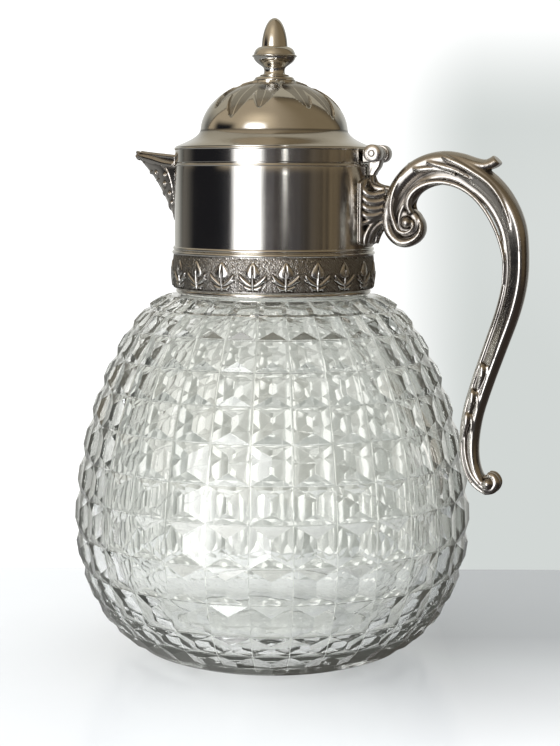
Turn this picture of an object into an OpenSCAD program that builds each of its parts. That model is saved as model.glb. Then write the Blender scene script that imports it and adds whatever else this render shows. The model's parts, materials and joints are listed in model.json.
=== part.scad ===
// Lidded water jug: pressed-glass body in a silver-plated mount with spout,
// scroll handle and hinged domed lid. +Z is up, the handle points along +X,
// the spout along -X, and the origin is the centre of the base.

/* [Glass jug] */
// Diameter of the glass body at its widest
belly_d = 162.4; // [156:0.2:168]
// Height of the widest place above the table
belly_h = 53.8; // [48:0.2:60]
// Diameter of the flat base
base_d = 82; // [70:1:92]
// Height at which the shoulder runs under the mount
shoulder_h = 146.6; // [144:0.2:147]
// Thickness of the glass wall
glass_wall = 4.8; // [4:0.1:5.5]
// Thickness of the glass floor
glass_floor = 8; // [6:0.5:11]
// Outside diameter of the glass neck inside the mount
neck_d = 70.8; // [66:0.2:72]
// How far the neck stands up above the shoulder
neck_rise = 25; // [18:0.5:28]

/* [Mount] */
// Outside diameter of the plain sleeve
sleeve_d = 80.4; // [79:0.2:82]
// Thickness of the sleeve sheet
sleeve_wall = 0.9; // [0.7:0.1:1.2]
// Height of the joint between mount and lid
joint_h = 199.3; // [196:0.1:202]
// Height of the leaf band's lower edge
band_low_h = 149.6; // [149:0.1:151]
// Height of the leaf band's upper edge
band_top_h = 163; // [161:0.1:164]
// How far the leaf band stands out from the sleeve
band_swell = 1.5; // [1:0.1:2]

/* [Spout] */
// Distance of the spout's tip from the axis
spout_reach = 61; // [56:0.5:66]
// Height of the spout's tip
spout_tip_h = 204.4; // [200:0.2:208]
// Half width of the spout where it meets the sleeve
spout_half_w = 12.5; // [10:0.5:13.5]
// Height of the spout's foot on the sleeve
spout_foot_h = 169.5; // [167:0.5:175]

/* [Lid] */
// Radius of the dome
dome_r = 29.8; // [28:0.1:31]
// Height of the dome above its crease
dome_rise = 20.7; // [18:0.1:22]
// Thickness of the lid sheet
lid_wall = 0.9; // [0.7:0.1:1.2]
// Height of the finial above the dome
finial_rise = 25; // [20:0.5:30]

/* [Hinge] */
// Distance of the hinge axis from the jug's axis
hinge_x = 43.7; // [43.6:0.1:45]
// Diameter of the hinge pin
pin_d = 2.5; // [2:0.1:2.8]
// Overall length of the hinge
hinge_len = 18.2; // [16:0.2:20]

/* [Handle] */
// Width of the handle grip from side to side
grip_w = 12.6; // [10:0.2:14]

/* [Hidden] */
$fn = 96;

plate = "silver";
fit_gap = 0.35;                       // between the lid and the mount
run_gap = 0.05;                       // round the pin in its barrel
belly_r = belly_d / 2;
base_r = base_d / 2;
neck_r = neck_d / 2;
neck_top = shoulder_h + neck_rise;
sleeve_r = sleeve_d / 2;
sleeve_ri = sleeve_r - sleeve_wall;
lid_r = sleeve_r - 0.2;
skirt_low = joint_h + fit_gap;
skirt_top = skirt_low + 5;
rim_top = skirt_top + 1;
crease_h = rim_top + 6.9;
dome_top = crease_h + dome_rise - 0.9;
hinge_h = skirt_low + 3.75;
pin_r = pin_d / 2;
ear_r = 3.5;
barrel_r = 3;
barrel_len = 5.6;
screw_r = 1.5;

// ---- Curves ----

// Points of a cubic curve with ends a and d, drawn towards b and c
function bezier(a, b, c, d, n) = [
    for (i = [0:n]) let (t = i / n, s = 1 - t)
        s * s * s * a + 3 * s * s * t * b + 3 * s * t * t * c + t * t * t * d
];

// Points of an elliptic arc round c, from angle a0 to a1
function arc(c, rx, rz, a0, a1, n) = [
    for (i = [0:n]) let (a = a0 + (a1 - a0) * i / n) c + [rx * cos(a), rz * sin(a)]
];

function unit(v) = v / norm(v);

function reversed(p) = [for (i = [len(p) - 1:-1:0]) p[i]];

// A smooth value between the listed [place, value] pairs
function between(list, x, i = 0) =
    x <= list[0][0] ? list[0][1] :
    i >= len(list) - 1 ? list[len(list) - 1][1] :
    x <= list[i + 1][0]
        ? list[i][1] + (list[i + 1][1] - list[i][1]) * (x - list[i][0]) / (list[i + 1][0] - list[i][0])
        : between(list, x, i + 1);

// A smooth path through every listed point, n steps to each gap
function through(p, n) = [
    for (i = [0:len(p) - 2]) let (a = p[max(i - 1, 0)], b = p[i], c = p[i + 1], d = p[min(i + 2, len(p) - 1)])
        for (k = [0:n - (i == len(p) - 2 ? 0 : 1)]) let (t = k / n)
            (2 * b + (c - a) * t + (2 * a - 5 * b + 4 * c - d) * t * t
             + (3 * b - a - 3 * c + d) * t * t * t) / 2
];

module turned(points) {
    rotate_extrude() polygon(points);
}

// ---- Jug body ----

// Outline of the glass from the base edge to the foot of the neck, w inside the outer face
function glass_side(w, floor_h) = concat(
    arc([base_r, belly_h], belly_r - base_r - w, belly_h - floor_h, -90, 0, 12),
    [for (p = bezier([belly_r - w, belly_h], [belly_r - w, 94], [60 - w, 148.5 - w],
                     [neck_r + 4 - 1.6 * w, shoulder_h - (w > 0 ? w - 2 : 0)], 20))
        if (p.y > belly_h) p]
);

module glass_jug() {
    bore_r = neck_r - 4;
    color("azure", 0.4)
    turned(concat(
        [[0, 1.6], [base_r - 11, 1.6], [base_r - 8, 0]],
        glass_side(0, 0),
        [[neck_r, shoulder_h], [neck_r, neck_top - 2]],
        arc([neck_r - 2, neck_top - 2], 2, 2, 0, 180, 8),
        [[bore_r, shoulder_h + 3]],
        reversed(glass_side(glass_wall, glass_floor)),
        [[0, glass_floor]]
    ));
}

module cement_bed() {
    color("gainsboro")
    turned([
        [neck_r, shoulder_h + 0.4], [sleeve_ri - 2, shoulder_h + 0.4], [sleeve_ri - 2, band_low_h],
        [sleeve_ri, band_low_h], [sleeve_ri, neck_top - 3], [neck_r, neck_top - 3]
    ]);
}

// ---- Mount ----

module collar_sleeve() {
    color(plate)
    difference() {
        turned([
            [sleeve_ri, band_low_h], [sleeve_r, band_low_h],
            [sleeve_r, joint_h], [sleeve_ri, joint_h]
        ]);
        // pouring window behind the spout
        translate([-sleeve_r - 2, 0, 0])
            rotate([90, 0, 90])
                linear_extrude(sleeve_r / 2)
                    polygon([[-3, spout_foot_h + 9], [3, spout_foot_h + 9], [9.5, joint_h - 6],
                             [9.5, joint_h - 3.5], [-9.5, joint_h - 3.5], [-9.5, joint_h - 6]]);
    }
}

module collar_foot_ring() {
    color(plate)
    turned(concat(
        [[sleeve_ri - 2, band_low_h], [sleeve_ri - 2, shoulder_h + 0.3]],
        [[sleeve_ri - 1.1, shoulder_h + 0.3]],
        arc([sleeve_ri - 1.1, band_low_h - 1.35], 1.5, 1.35, -90, 90, 8)
    ));
}

module foliate_band() {
    mid = (band_low_h + band_top_h) / 2;
    half = (band_top_h - band_low_h) / 2;
    color(plate)
    turned(concat(
        [[sleeve_r, band_low_h]],
        [for (k = [-6:6]) [sleeve_r + 0.6 + (band_swell - 0.6) * cos(90 * k / 6), mid + half * k / 6]],
        [[sleeve_r, band_top_h]]
    ));
}

module band_top_moulding() {
    color(plate)
    turned(concat(
        [[sleeve_r, band_top_h]],
        arc([sleeve_r + 0.3, band_top_h + 0.75], 0.75, 0.75, -90, 90, 8),
        arc([sleeve_r + 0.1, band_top_h + 2.4], 0.55, 0.7, -90, 90, 6),
        [[sleeve_r, band_top_h + 3.1]]
    ));
}

module collar_rim_wire() {
    wire_r = 0.4;
    gap = spout_half_w + 0.3;
    color(plate)
    difference() {
        turned(concat(
            [[sleeve_r, joint_h - 1.2]],
            arc([sleeve_r, joint_h - 0.8], wire_r, wire_r, -90, 90, 8)
        ));
        // the wire stops at the sides of the spout
        translate([-sleeve_r - 2, -gap, joint_h - 2])
            cube([sleeve_r, 2 * gap, 3]);
    }
}

// ---- Spout ----

spout_keel = [[0, spout_foot_h], [0.32, 184], [0.5, 191], [0.74, 196.4], [0.86, 200], [1, 201.6]];
spout_width = [[0, spout_half_w], [0.3, spout_half_w - 3], [0.7, 6.4], [0.9, 4.6], [1, 2.4]];

// One section of the trough at place t, from the left lip under the keel to the right lip
function trough(t, inset) =
    let (
        root = sleeve_r + 0.02,
        w = between(spout_width, t) - inset,
        low = between(spout_keel, t) + inset * (1.1 + 1.6 * (1 - t)),
        top = joint_h + 3 + (spout_tip_h - joint_h - 3) * t,
        end = spout_reach - (inset > 0 ? 0.9 * t : 0)
    )
    [for (k = [-8:8])
        let (
            y = w * sin(90 * k / 8),
            z = low + (top - low) * pow(abs(k) / 8, 1.7),
            x0 = sqrt(root * root - y * y)
        )
        [-(x0 + (end - x0) * t), y, z]
    ];

module spout() {
    steps = 14;
    rings = [for (i = [0:steps]) concat(trough(i / steps, 0), reversed(trough(i / steps, 1.2)))];
    m = len(rings[0]);
    walls = [
        for (i = [0:steps - 1], k = [0:m - 1])
            let (a = i * m + k, b = i * m + (k + 1) % m, c = a + m, d = b + m)
                each [[a, c, b], [b, c, d]]
    ];
    // each end is closed by a strip between its outer and inner edge
    function end_strip(first) = [
        for (k = [0:m / 2 - 2])
            let (a = first + k, b = a + 1, c = first + m - 1 - k, d = c - 1)
                each [[a, b, c], [b, d, c]]
    ];
    flip = [for (f = end_strip(steps * m)) [f[0], f[2], f[1]]];
    color(plate)
    polyhedron([for (r = rings) each r], concat(walls, end_strip(0), flip));
}

// ---- Handle ----

// Stations along the handle's middle: [x, z], with thickness and width beside each
handle_path = [
    [61.2, 173.4], [58.6, 170.4], [54.4, 170.1], [51.2, 173.6], [50.9, 179.4], [52.8, 185.2],
    [56.6, 191.2], [62.4, 196], [69.6, 198.4], [77.6, 197], [84.6, 193.2], [90.6, 188.2],
    [95.4, 181.6], [98.8, 173.6], [100.3, 163.6], [99.9, 153.6], [97.4, 142.4], [92.9, 129],
    [87.9, 114.6], [84.2, 101.6], [82.9, 90.6], [83.6, 82], [86.2, 75.4], [90.4, 71.7]
];
handle_thick = [
    [0, 4.6], [0.09, 7], [0.17, 9.4], [0.24, 12], [0.34, 12.6], [0.42, 11.8], [0.52, 10.4],
    [0.64, 9.6], [0.76, 8.6], [0.9, 7.8], [0.95, 7], [1, 5]
];
handle_wide = [
    [0, 0.8], [0.1, 1], [0.3, 1.06], [0.5, 1], [0.75, 0.84], [0.93, 0.72], [1, 0.66]
];

// An oval slice across the path at p, square to direction v
module handle_slice(p, v, thick, wide) {
    translate([p.x, 0, p.y])
        rotate([0, -atan2(v.y, v.x), 0])
            rotate([0, 90, 0])
                linear_extrude(0.1, center = true)
                    scale([thick, wide])
                        circle(d = 1, $fn = 16);
}

module handle_sweep() {
    path = through(handle_path, 2);
    n = len(path) - 1;
    for (i = [0:n - 1])
        hull()
            for (j = [i, i + 1]) {
                v = path[min(j + 1, n)] - path[max(j - 1, 0)];
                handle_slice(path[j], v, between(handle_thick, j / n), grip_w * between(handle_wide, j / n));
            }
}

// Round boss on both sides of a scroll, with a small ball on its middle
module scroll_boss(p, r, half_w, ball_r) {
    translate([p.x, 0, p.y]) {
        rotate([90, 0, 0])
            cylinder(r = r, h = 2 * half_w, center = true, $fn = 28);
        for (side = [-1, 1])
            translate([0, side * half_w, 0])
                sphere(r = ball_r, $fn = 16);
    }
}

// Leaf that lies along the top of the handle and lifts off as a thumb rest
module thumb_leaf() {
    spine = [[60, 200.4], [66, 202.6], [72, 203], [78, 202], [84, 200.2], [89, 199.8], [91.4, 201]];
    width = [5, 8.6, 10.6, 11, 10, 7.4, 3];
    for (i = [0:len(spine) - 2])
        hull()
            for (j = [i, i + 1])
                translate([spine[j].x, 0, spine[j].y])
                    rotate([0, 90, 0])
                        linear_extrude(0.2, center = true)
                            scale([j == len(spine) - 1 ? 1.4 : 3.4, width[j]])
                                circle(d = 1, $fn = 16);
}

module handle() {
    color(plate) {
        handle_sweep();
        scroll_boss([56.6, 176], 5.6, grip_w / 2 - 1.4, 2.3);
        scroll_boss([90.6, 74], 3.9, grip_w / 2 - 2.2, 2.2);
        thumb_leaf();
    }
}

// Cast bracket: a saddle on the sleeve drawn in to the handle by curved gadroons
module handle_bracket() {
    saddle_low = band_top_h + 3.2;
    saddle_top = 194.4;
    ribs = 5;
    color(plate)
    difference() {
        union() {
            rotate([0, 0, -14])
                rotate_extrude(angle = 28, $fn = 180)
                    translate([sleeve_r + 0.02, saddle_low])
                        square([1, saddle_top - saddle_low]);
            // middle web, from the saddle to the handle
            for (s = [[41, 170.5, 193.4, 15], [42.6, 173, 191.4, 12], [44.6, 175.2, 190.2, 9]])
                hull() {
                    web_slice(s[0], s[1], s[2], s[3]);
                    web_slice(s[0] + 2, s[1] + 1.9, s[2] - 1.6, s[3] - 2.4);
                }
            // gadroons on each side
            for (side = [-1, 1], k = [0:ribs - 1]) {
                z0 = 190.6 - 4.2 * k;
                z1 = 188.4 - 2.9 * k;
                gadroon([41.2, side * 8, z0], [44.4, side * 6.4, (z0 + z1) / 2 - 1.2],
                        [46.4, side * 3.2, z1], 1.3);
            }
            // scrolls along the top and bottom edges
            gadroon([42.2, 0, 193.2], [43.6, 0, 190.9], [47.6, 0, 188.8], 1.1);
            gadroon([42.4, 0, 168], [43.4, 0, 173], [47, 0, 176.4], 1.4);
        }
        handle_sweep();
    }
}

module web_slice(x, low, top, wide) {
    translate([x, 0, (low + top) / 2])
        rotate([0, 90, 0])
            linear_extrude(0.1)
                scale([top - low, wide])
                    circle(d = 1, $fn = 16);
}

module gadroon(a, b, c, r) {
    for (pair = [[a, b], [b, c]])
        hull()
            for (p = pair)
                translate(p)
                    sphere(r = r, $fn = 8);
}

// ---- Hinge ----

module across(length, y = 0) {
    translate([hinge_x, y, hinge_h])
        rotate([90, 0, 0])
            linear_extrude(length, center = true)
                children();
}

module hinge_strap() {
    color(plate)
    difference() {
        union() {
            across(barrel_len) circle(r = barrel_r);
            across(barrel_len)
                polygon([
                    [barrel_r - 0.3, -0.9], [1.1, -4.6], [-0.9, -8.5], [-2.3, -8.5],
                    [-2.9, -4.6], [-2.7, -1.2]
                ]);
        }
        across(barrel_len + 2) circle(r = pin_r + run_gap);
    }
}

module hinge_ear(side) {
    inner = barrel_len / 2 + fit_gap;
    length = hinge_len / 2 - inner;
    mid = side * (inner + length / 2);
    color(plate)
    difference() {
        union() {
            across(length, mid) circle(r = ear_r);
            across(length, mid)
                polygon([[-7, skirt_low - hinge_h], [-0.6, skirt_low - hinge_h + 0.2],
                         [-0.6, skirt_top - hinge_h], [-7, skirt_top - hinge_h]]);
        }
        across(length + 2, mid) circle(r = pin_r);
        cylinder(r = lid_r, h = rim_top);
    }
}

module hinge_ear_front() hinge_ear(-1);
module hinge_ear_rear() hinge_ear(1);

module hinge_pin() {
    color(plate)
    across(hinge_len + 0.4) circle(r = pin_r);
}

// ---- Lid ----

module lid_skirt() {
    color(plate)
    turned([
        [lid_r - lid_wall, skirt_low], [lid_r, skirt_low],
        [lid_r, skirt_top], [lid_r - lid_wall, skirt_top]
    ]);
}

module lid_locating_lip() {
    outer = lid_r - lid_wall;
    color(plate)
    turned([
        [outer - 1.1, skirt_low - 3], [outer - 0.7, skirt_low - 3], [outer - 0.7, skirt_low + 0.3],
        [outer, skirt_low + 0.3], [outer, skirt_top - 1], [outer - 1.1, skirt_top - 1]
    ]);
}

module lid_rim_wire() {
    color(plate)
    turned(concat(
        [[lid_r - 1.6, skirt_top]],
        arc([lid_r - 0.2, skirt_top + 0.5], 0.5, 0.5, -90, 90, 8),
        [[lid_r - 1.6, rim_top]]
    ));
}

// Outline of the lid sheet from the finial hole, over the dome and down the flare
function lid_outline() = concat(
    [[screw_r + 0.2, dome_top], [8.7, dome_top]],
    arc([0, crease_h - 0.9], dome_r, dome_rise + 1, 70, 5, 14),
    bezier([dome_r, crease_h - 0.2], [dome_r + 1.4, crease_h - 3.4], [dome_r + 6.8, rim_top + 1.9],
           [lid_r - 0.2, rim_top + 0.3], 8)
);

module lid_dome() {
    outer = lid_outline();
    color(plate)
    turned(concat(
        outer, [[lid_r - 0.2, rim_top], [lid_r - 1.4, rim_top]],
        reversed(concat([[screw_r + 0.2, dome_top - lid_wall], [8.4, dome_top - lid_wall]],
                        arc([0, crease_h - 0.9], dome_r - lid_wall, dome_rise + 1 - lid_wall, 69, 5, 14),
                        bezier([dome_r - lid_wall, crease_h - 0.7], [dome_r + 0.4, crease_h - 4.3],
                               [dome_r + 5.8, rim_top + 0.9], [lid_r - 1.5, rim_top + 0.02], 8)))
    ));
}

// ---- Finial ----

module finial_foot() {
    low = dome_top;
    color(plate)
    turned(concat(
        [[screw_r + 0.2, low], [8.5, low], [8.5, low + 0.4]],
        arc([6.4, low + 0.4], 1.6, 1.1, 0, 90, 6),
        [[5.9, low + 1.9], [5.9, low + 2.5], [screw_r + 0.2, low + 2.5]]
    ));
}

// Turned knob: waisted stem, lipped knop and acorn
module finial_knob() {
    low = dome_top + 2.5;
    top = dome_top + finial_rise;
    lip = low + 7.4;
    color(plate)
    turned(concat(
        [[0, low + 6.6], [screw_r, low + 6.6], [screw_r, low]],
        arc([6.4, low + 1.5], 2.2, 2.4, 200, 140, 6),
        bezier([5.2, low + 3.4], [6.2, low + 4.2], [8, low + 5], [8.7, lip - 0.4], 6),
        [[9.1, lip - 0.1], [9.1, lip + 0.2], [8.5, lip + 0.5]],
        bezier([8.5, lip + 0.5], [8, lip + 2.4], [7.2, lip + 3.2], [5.9, lip + 3.6], 6),
        [[5.7, lip + 3.8]],
        bezier([5.8, lip + 3.9], [5.6, lip + 8.6], [4, top], [0, top], 12)
    ));
}

module finial_washer() {
    color(plate)
    translate([0, 0, dome_top - lid_wall - 0.8])
        difference() {
            cylinder(r = 4.2, h = 0.8);
            translate([0, 0, -1]) cylinder(r = screw_r + 0.2, h = 3);
        }
}

module finial_screw() {
    head_top = dome_top - lid_wall - 0.8;
    color(plate)
    difference() {
        union() {
            translate([0, 0, head_top]) cylinder(r = screw_r, h = lid_wall + 0.8 + 2.5 + 6.4);
            translate([0, 0, head_top - 1.8]) cylinder(r = 2.8, h = 1.8);
        }
        translate([-4, -0.4, head_top - 2.8]) cube([8, 0.8, 1.8]);
    }
}

glass_jug();
cement_bed();
collar_sleeve();
collar_foot_ring();
foliate_band();
band_top_moulding();
collar_rim_wire();
spout();
handle_bracket();
hinge_strap();
handle();
lid_skirt();
lid_locating_lip();
lid_rim_wire();
lid_dome();
hinge_ear_front();
hinge_ear_rear();
hinge_pin();
finial_foot();
finial_knob();
finial_screw();
finial_washer();
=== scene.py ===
import json
import math
from contextlib import contextmanager

import bmesh
import bpy
import numpy as np
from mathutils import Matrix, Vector


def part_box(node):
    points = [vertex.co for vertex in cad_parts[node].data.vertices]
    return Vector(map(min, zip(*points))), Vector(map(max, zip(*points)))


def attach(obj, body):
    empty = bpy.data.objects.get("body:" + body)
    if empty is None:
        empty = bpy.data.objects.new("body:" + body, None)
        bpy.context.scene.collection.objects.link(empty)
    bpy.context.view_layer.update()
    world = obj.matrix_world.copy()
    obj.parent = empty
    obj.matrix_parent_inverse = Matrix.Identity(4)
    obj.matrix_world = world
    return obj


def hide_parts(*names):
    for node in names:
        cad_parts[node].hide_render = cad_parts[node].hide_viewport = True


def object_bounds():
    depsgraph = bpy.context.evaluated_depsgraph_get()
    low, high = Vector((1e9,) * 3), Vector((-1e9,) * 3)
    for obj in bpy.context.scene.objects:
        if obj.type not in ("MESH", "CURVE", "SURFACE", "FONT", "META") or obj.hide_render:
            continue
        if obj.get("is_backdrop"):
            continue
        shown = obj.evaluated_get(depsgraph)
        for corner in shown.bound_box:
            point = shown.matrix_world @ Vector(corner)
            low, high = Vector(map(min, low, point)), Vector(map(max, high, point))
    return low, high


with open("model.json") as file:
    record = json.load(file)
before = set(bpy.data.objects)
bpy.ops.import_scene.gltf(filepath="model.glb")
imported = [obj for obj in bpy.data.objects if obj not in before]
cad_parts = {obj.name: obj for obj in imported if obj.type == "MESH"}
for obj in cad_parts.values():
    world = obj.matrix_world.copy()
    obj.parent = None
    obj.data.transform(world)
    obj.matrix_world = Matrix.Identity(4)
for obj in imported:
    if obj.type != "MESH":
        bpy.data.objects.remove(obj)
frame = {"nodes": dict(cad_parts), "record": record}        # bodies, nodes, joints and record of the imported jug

for name in ("Cube", "Light", "Camera"):        # what a new file starts with
    if name in bpy.data.objects:
        bpy.data.objects.remove(bpy.data.objects[name])

cadLow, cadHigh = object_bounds()
mm = 0.001
joint = frame["record"]["behaviour"]["joints"][0]
hingeX, hingeZ = joint["pos_m"][0] / mm, joint["pos_m"][2] / mm


def span(node):        # radius, lowest and highest level of a turned CAD node, in mm
    low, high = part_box(node)
    return max(high.x, high.y) / mm, low.z / mm, high.z / mm


# curves
def arcPoints(centre, rx, rz, start, end, count):
    angles = np.radians(np.linspace(start, end, count + 1))
    return [(centre[0] + rx * math.cos(a), centre[1] + rz * math.sin(a)) for a in angles]


def bezierPoints(a, b, c, d, count):
    t = np.linspace(0, 1, count + 1)[:, None]
    a, b, c, d = (np.array(p, float) for p in (a, b, c, d))
    curve = (1 - t) ** 3 * a + 3 * (1 - t) ** 2 * t * b + 3 * (1 - t) * t ** 2 * c + t ** 3 * d
    return [tuple(p) for p in curve]


def smoothPath(points, steps=8):        # a smooth curve through rows of any width
    p = np.array(points, float)
    rows = []
    for i in range(len(p) - 1):
        a, b, c, d = p[max(i - 1, 0)], p[i], p[i + 1], p[min(i + 2, len(p) - 1)]
        for t in np.linspace(0, 1, steps, endpoint=False):
            rows.append((2 * b + (c - a) * t + (2 * a - 5 * b + 4 * c - d) * t * t
                         + (3 * b - a - 3 * c + d) * t ** 3) / 2)
    rows.append(p[-1])
    return np.array(rows)


# node helpers
def addNode(tree, kind, settings=None, **inputs):
    node = tree.nodes.new(kind)
    for key, value in (settings or {}).items():
        if key == "stops":
            ramp = node.color_ramp
            while len(ramp.elements) < len(value):
                ramp.elements.new(0.5)
            for element, (place, colour) in zip(ramp.elements, value):
                element.position = place
                element.color = colour
        else:
            setattr(node, key, value)
    for key, value in inputs.items():
        numbered = key[0] == "n" and key[1:].isdigit()
        socket = node.inputs[int(key[1:]) if numbered else key.replace("_", " ")]
        if isinstance(value, Field):
            value = value.socket
        if isinstance(value, bpy.types.NodeSocket):
            tree.links.new(value, socket)
        else:
            socket.default_value = value
    return node


class Field:        # a socket that can be written in sums
    def __init__(self, tree, socket):
        self.tree, self.socket = tree, socket

    def maths(self, operation, *others, clamp=False):
        values = {f"n{i}": value for i, value in enumerate((self, *others))}
        node = addNode(self.tree, "ShaderNodeMath", {"operation": operation, "use_clamp": clamp}, **values)
        return Field(self.tree, node.outputs[0])

    def swapped(self, operation, other):
        node = addNode(self.tree, "ShaderNodeMath", {"operation": operation}, n0=other, n1=self)
        return Field(self.tree, node.outputs[0])

    def __add__(self, other):
        return self.maths("ADD", other)

    def __sub__(self, other):
        return self.maths("SUBTRACT", other)

    def __mul__(self, other):
        return self.maths("MULTIPLY", other)

    def __truediv__(self, other):
        return self.maths("DIVIDE", other)

    def __rsub__(self, other):
        return self.swapped("SUBTRACT", other)

    __radd__ = __add__
    __rmul__ = __mul__

    def clamped(self):
        return self.maths("ADD", 0.0, clamp=True)


class Finish:        # one material and its nodes
    def __init__(self, name):
        self.material = bpy.data.materials.new(name)
        self.material.use_nodes = True
        self.tree = self.material.node_tree
        self.shader = self.tree.nodes["Principled BSDF"]
        self.place = addNode(self.tree, "ShaderNodeTexCoord").outputs["Object"]

    def node(self, kind, settings=None, out=0, **inputs):
        return Field(self.tree, addNode(self.tree, kind, settings, **inputs).outputs[out])

    def noise(self, scale, detail=3.0, stretch=(1, 1, 1), roughness=0.5):
        moved = self.node("ShaderNodeMapping", None, 0, Vector=self.place, Scale=stretch)
        return self.node("ShaderNodeTexNoise", None, 0, Vector=moved, Scale=scale, Detail=detail,
                         Roughness=roughness)

    def attribute(self, name):
        return self.node("ShaderNodeAttribute", {"attribute_name": name}, 2)

    def blend(self, factor, first, second):
        return self.node("ShaderNodeMix", {"data_type": "RGBA"}, 2, n0=factor, n6=first, n7=second)

    def give(self, **inputs):
        for key, value in inputs.items():
            socket = self.shader.inputs[key.replace("_", " ")]
            if isinstance(value, Field):
                self.tree.links.new(value.socket, socket)
            else:
                socket.default_value = value
        return self.material


# materials
def silverFinish(name, clean, worn, rough, streaks, cavity=0.0, pebble=0.0):
    f = Finish(name)
    cloud = f.noise(38, 4)
    wipe = f.noise(1, 5, streaks, 0.62)
    speck = f.noise(900, 2)
    film = (cloud * 0.9 + wipe * 0.7 - 0.45).clamped()
    colour = f.blend(film, clean, worn)
    haze = f.noise(14, 5, (1, 1, 1), 0.65)
    sheen = rough + film * rough * 0.9 + ((haze - 0.42) * 6).clamped() * rough * 0.8
    sheen = sheen + (speck - 0.5) * rough * 0.35
    height = wipe * 0.35 + cloud * 0.5
    if cavity:
        hollow = (f.attribute("hollow") * cavity + (cloud - 0.5) * 0.35).clamped()
        colour = f.blend(hollow, colour, (0.035, 0.027, 0.021, 1))
        sheen = sheen + hollow * 0.22
    if pebble:
        ground = f.attribute("ground")
        grain = f.node("ShaderNodeTexVoronoi", None, 0, Vector=f.place, Scale=pebble)
        dark = (ground * (0.6 - grain * 0.8)).clamped()
        colour = f.blend(dark, colour, (0.17, 0.145, 0.12, 1))
        height = height + grain * ground * 11.0
        sheen = sheen + ground * 0.04
    bump = f.node("ShaderNodeBump", None, 0, Height=height, Strength=0.28, Distance=0.00012)
    return f.give(Base_Color=colour, Metallic=1.0, Roughness=sheen.clamped(), Normal=bump)


def glassFinish():
    f = Finish("pressedGlass")
    ripple = f.noise(70, 2)
    tint = f.blend(f.noise(25, 2).clamped(), (0.962, 0.975, 0.952, 1), (0.988, 0.992, 0.976, 1))
    bump = f.node("ShaderNodeBump", None, 0, Height=ripple, Strength=0.35, Distance=0.0006)
    return f.give(Base_Color=tint, Roughness=0.028, IOR=1.46, Transmission_Weight=1.0, Normal=bump,
                  Coat_Weight=1.0, Coat_IOR=1.68, Coat_Roughness=0.0,
                  Emission_Color=(0.60, 0.63, 0.57, 1), Emission_Strength=0.022)        # painted light: a faint glow given off by the glass itself


def dullFinish(name, light, dark, scale, rough, metal=0.0):
    f = Finish(name)
    grain = f.noise(scale, 6)
    bump = f.node("ShaderNodeBump", None, 0, Height=grain, Strength=0.3, Distance=0.0002)
    return f.give(Base_Color=f.blend(grain, dark, light), Metallic=metal, Normal=bump,
                  Roughness=(rough + (grain - 0.5) * 0.2).clamped())


silverTone = dict(clean=(0.86, 0.85, 0.82, 1), worn=(0.70, 0.67, 0.62, 1))
sheetSilver = silverFinish("sheetSilver", rough=0.075, streaks=(420, 420, 36), **silverTone)
spunSilver = silverFinish("spunSilver", rough=0.07, streaks=(90, 90, 260), **silverTone)
domeSilver = silverFinish("domeSilver", rough=0.07, streaks=(90, 90, 260), cavity=0.8, **silverTone)
castSilver = silverFinish("castSilver", clean=(0.66, 0.63, 0.60, 1), worn=(0.38, 0.35, 0.32, 1),
                          rough=0.13, streaks=(240, 240, 240), cavity=1.0)
bandSilver = silverFinish("bandSilver", clean=(0.84, 0.83, 0.81, 1), worn=(0.62, 0.60, 0.57, 1),
                          rough=0.13, streaks=(200, 200, 200), cavity=1.0, pebble=1500)
clearGlass = glassFinish()
cementWhite = dullFinish("cementWhite", (0.88, 0.86, 0.81, 1), (0.70, 0.68, 0.63, 1), 300, 0.85)
screwBrass = dullFinish("screwBrass", (0.80, 0.63, 0.33, 1), (0.52, 0.38, 0.18, 1), 500, 0.32, 1.0)
pinSteel = dullFinish("pinSteel", (0.66, 0.65, 0.63, 1), (0.34, 0.32, 0.30, 1), 700, 0.30, 1.0)
print("materials ready")


# mesh helpers
@contextmanager
def editing(mesh):        # opens a mesh for changes and writes it back
    work = bmesh.new()
    work.from_mesh(mesh)
    yield work
    work.to_mesh(mesh)
    work.free()


def linked(name, data):
    holder = bpy.data.objects.new(name, data)
    bpy.context.scene.collection.objects.link(holder)
    return holder


def smoothed(piece, sharp):        # soft shading, with edges over this angle kept sharp
    piece.data.shade_smooth()
    piece.data.set_sharp_from_angle(angle=math.radians(sharp))
    return piece


def newPiece(name, vertices, faces, material=None, sharp=None, weld=0.0):
    mesh = bpy.data.meshes.new(name)
    mesh.from_pydata([tuple(v) for v in vertices], [], faces)
    if weld:
        with editing(mesh) as work:
            bmesh.ops.remove_doubles(work, verts=work.verts, dist=weld)
            bmesh.ops.recalc_face_normals(work, faces=work.faces)
    piece = linked(name, mesh)
    if sharp is not None:
        smoothed(piece, sharp)
    if material:
        mesh.materials.append(material)
    return piece


def settle(piece):        # turns what the modifiers make into a plain mesh
    graph = bpy.context.evaluated_depsgraph_get()
    graph.update()
    mesh = bpy.data.meshes.new_from_object(piece.evaluated_get(graph), preserve_all_data_layers=True,
                                           depsgraph=graph)
    piece.modifiers.clear()
    piece.data = mesh
    mesh.name = piece.name
    return piece


def softenEdges(piece, width, angle=50):
    bevel = piece.modifiers.new("edge", "BEVEL")
    bevel.width = width * mm
    bevel.segments = 3
    bevel.limit_method = "ANGLE"
    bevel.angle_limit = math.radians(angle)
    return settle(piece)


def gridFaces(rows, columns, closedRows=False, closedColumns=False):
    faces = []
    for i in range(rows if closedRows else rows - 1):
        for j in range(columns if closedColumns else columns - 1):
            a, b = i * columns + j, i * columns + (j + 1) % columns
            c, d = ((i + 1) % rows) * columns + j, ((i + 1) % rows) * columns + (j + 1) % columns
            faces.append((a, b, d, c))
    return faces


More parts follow.
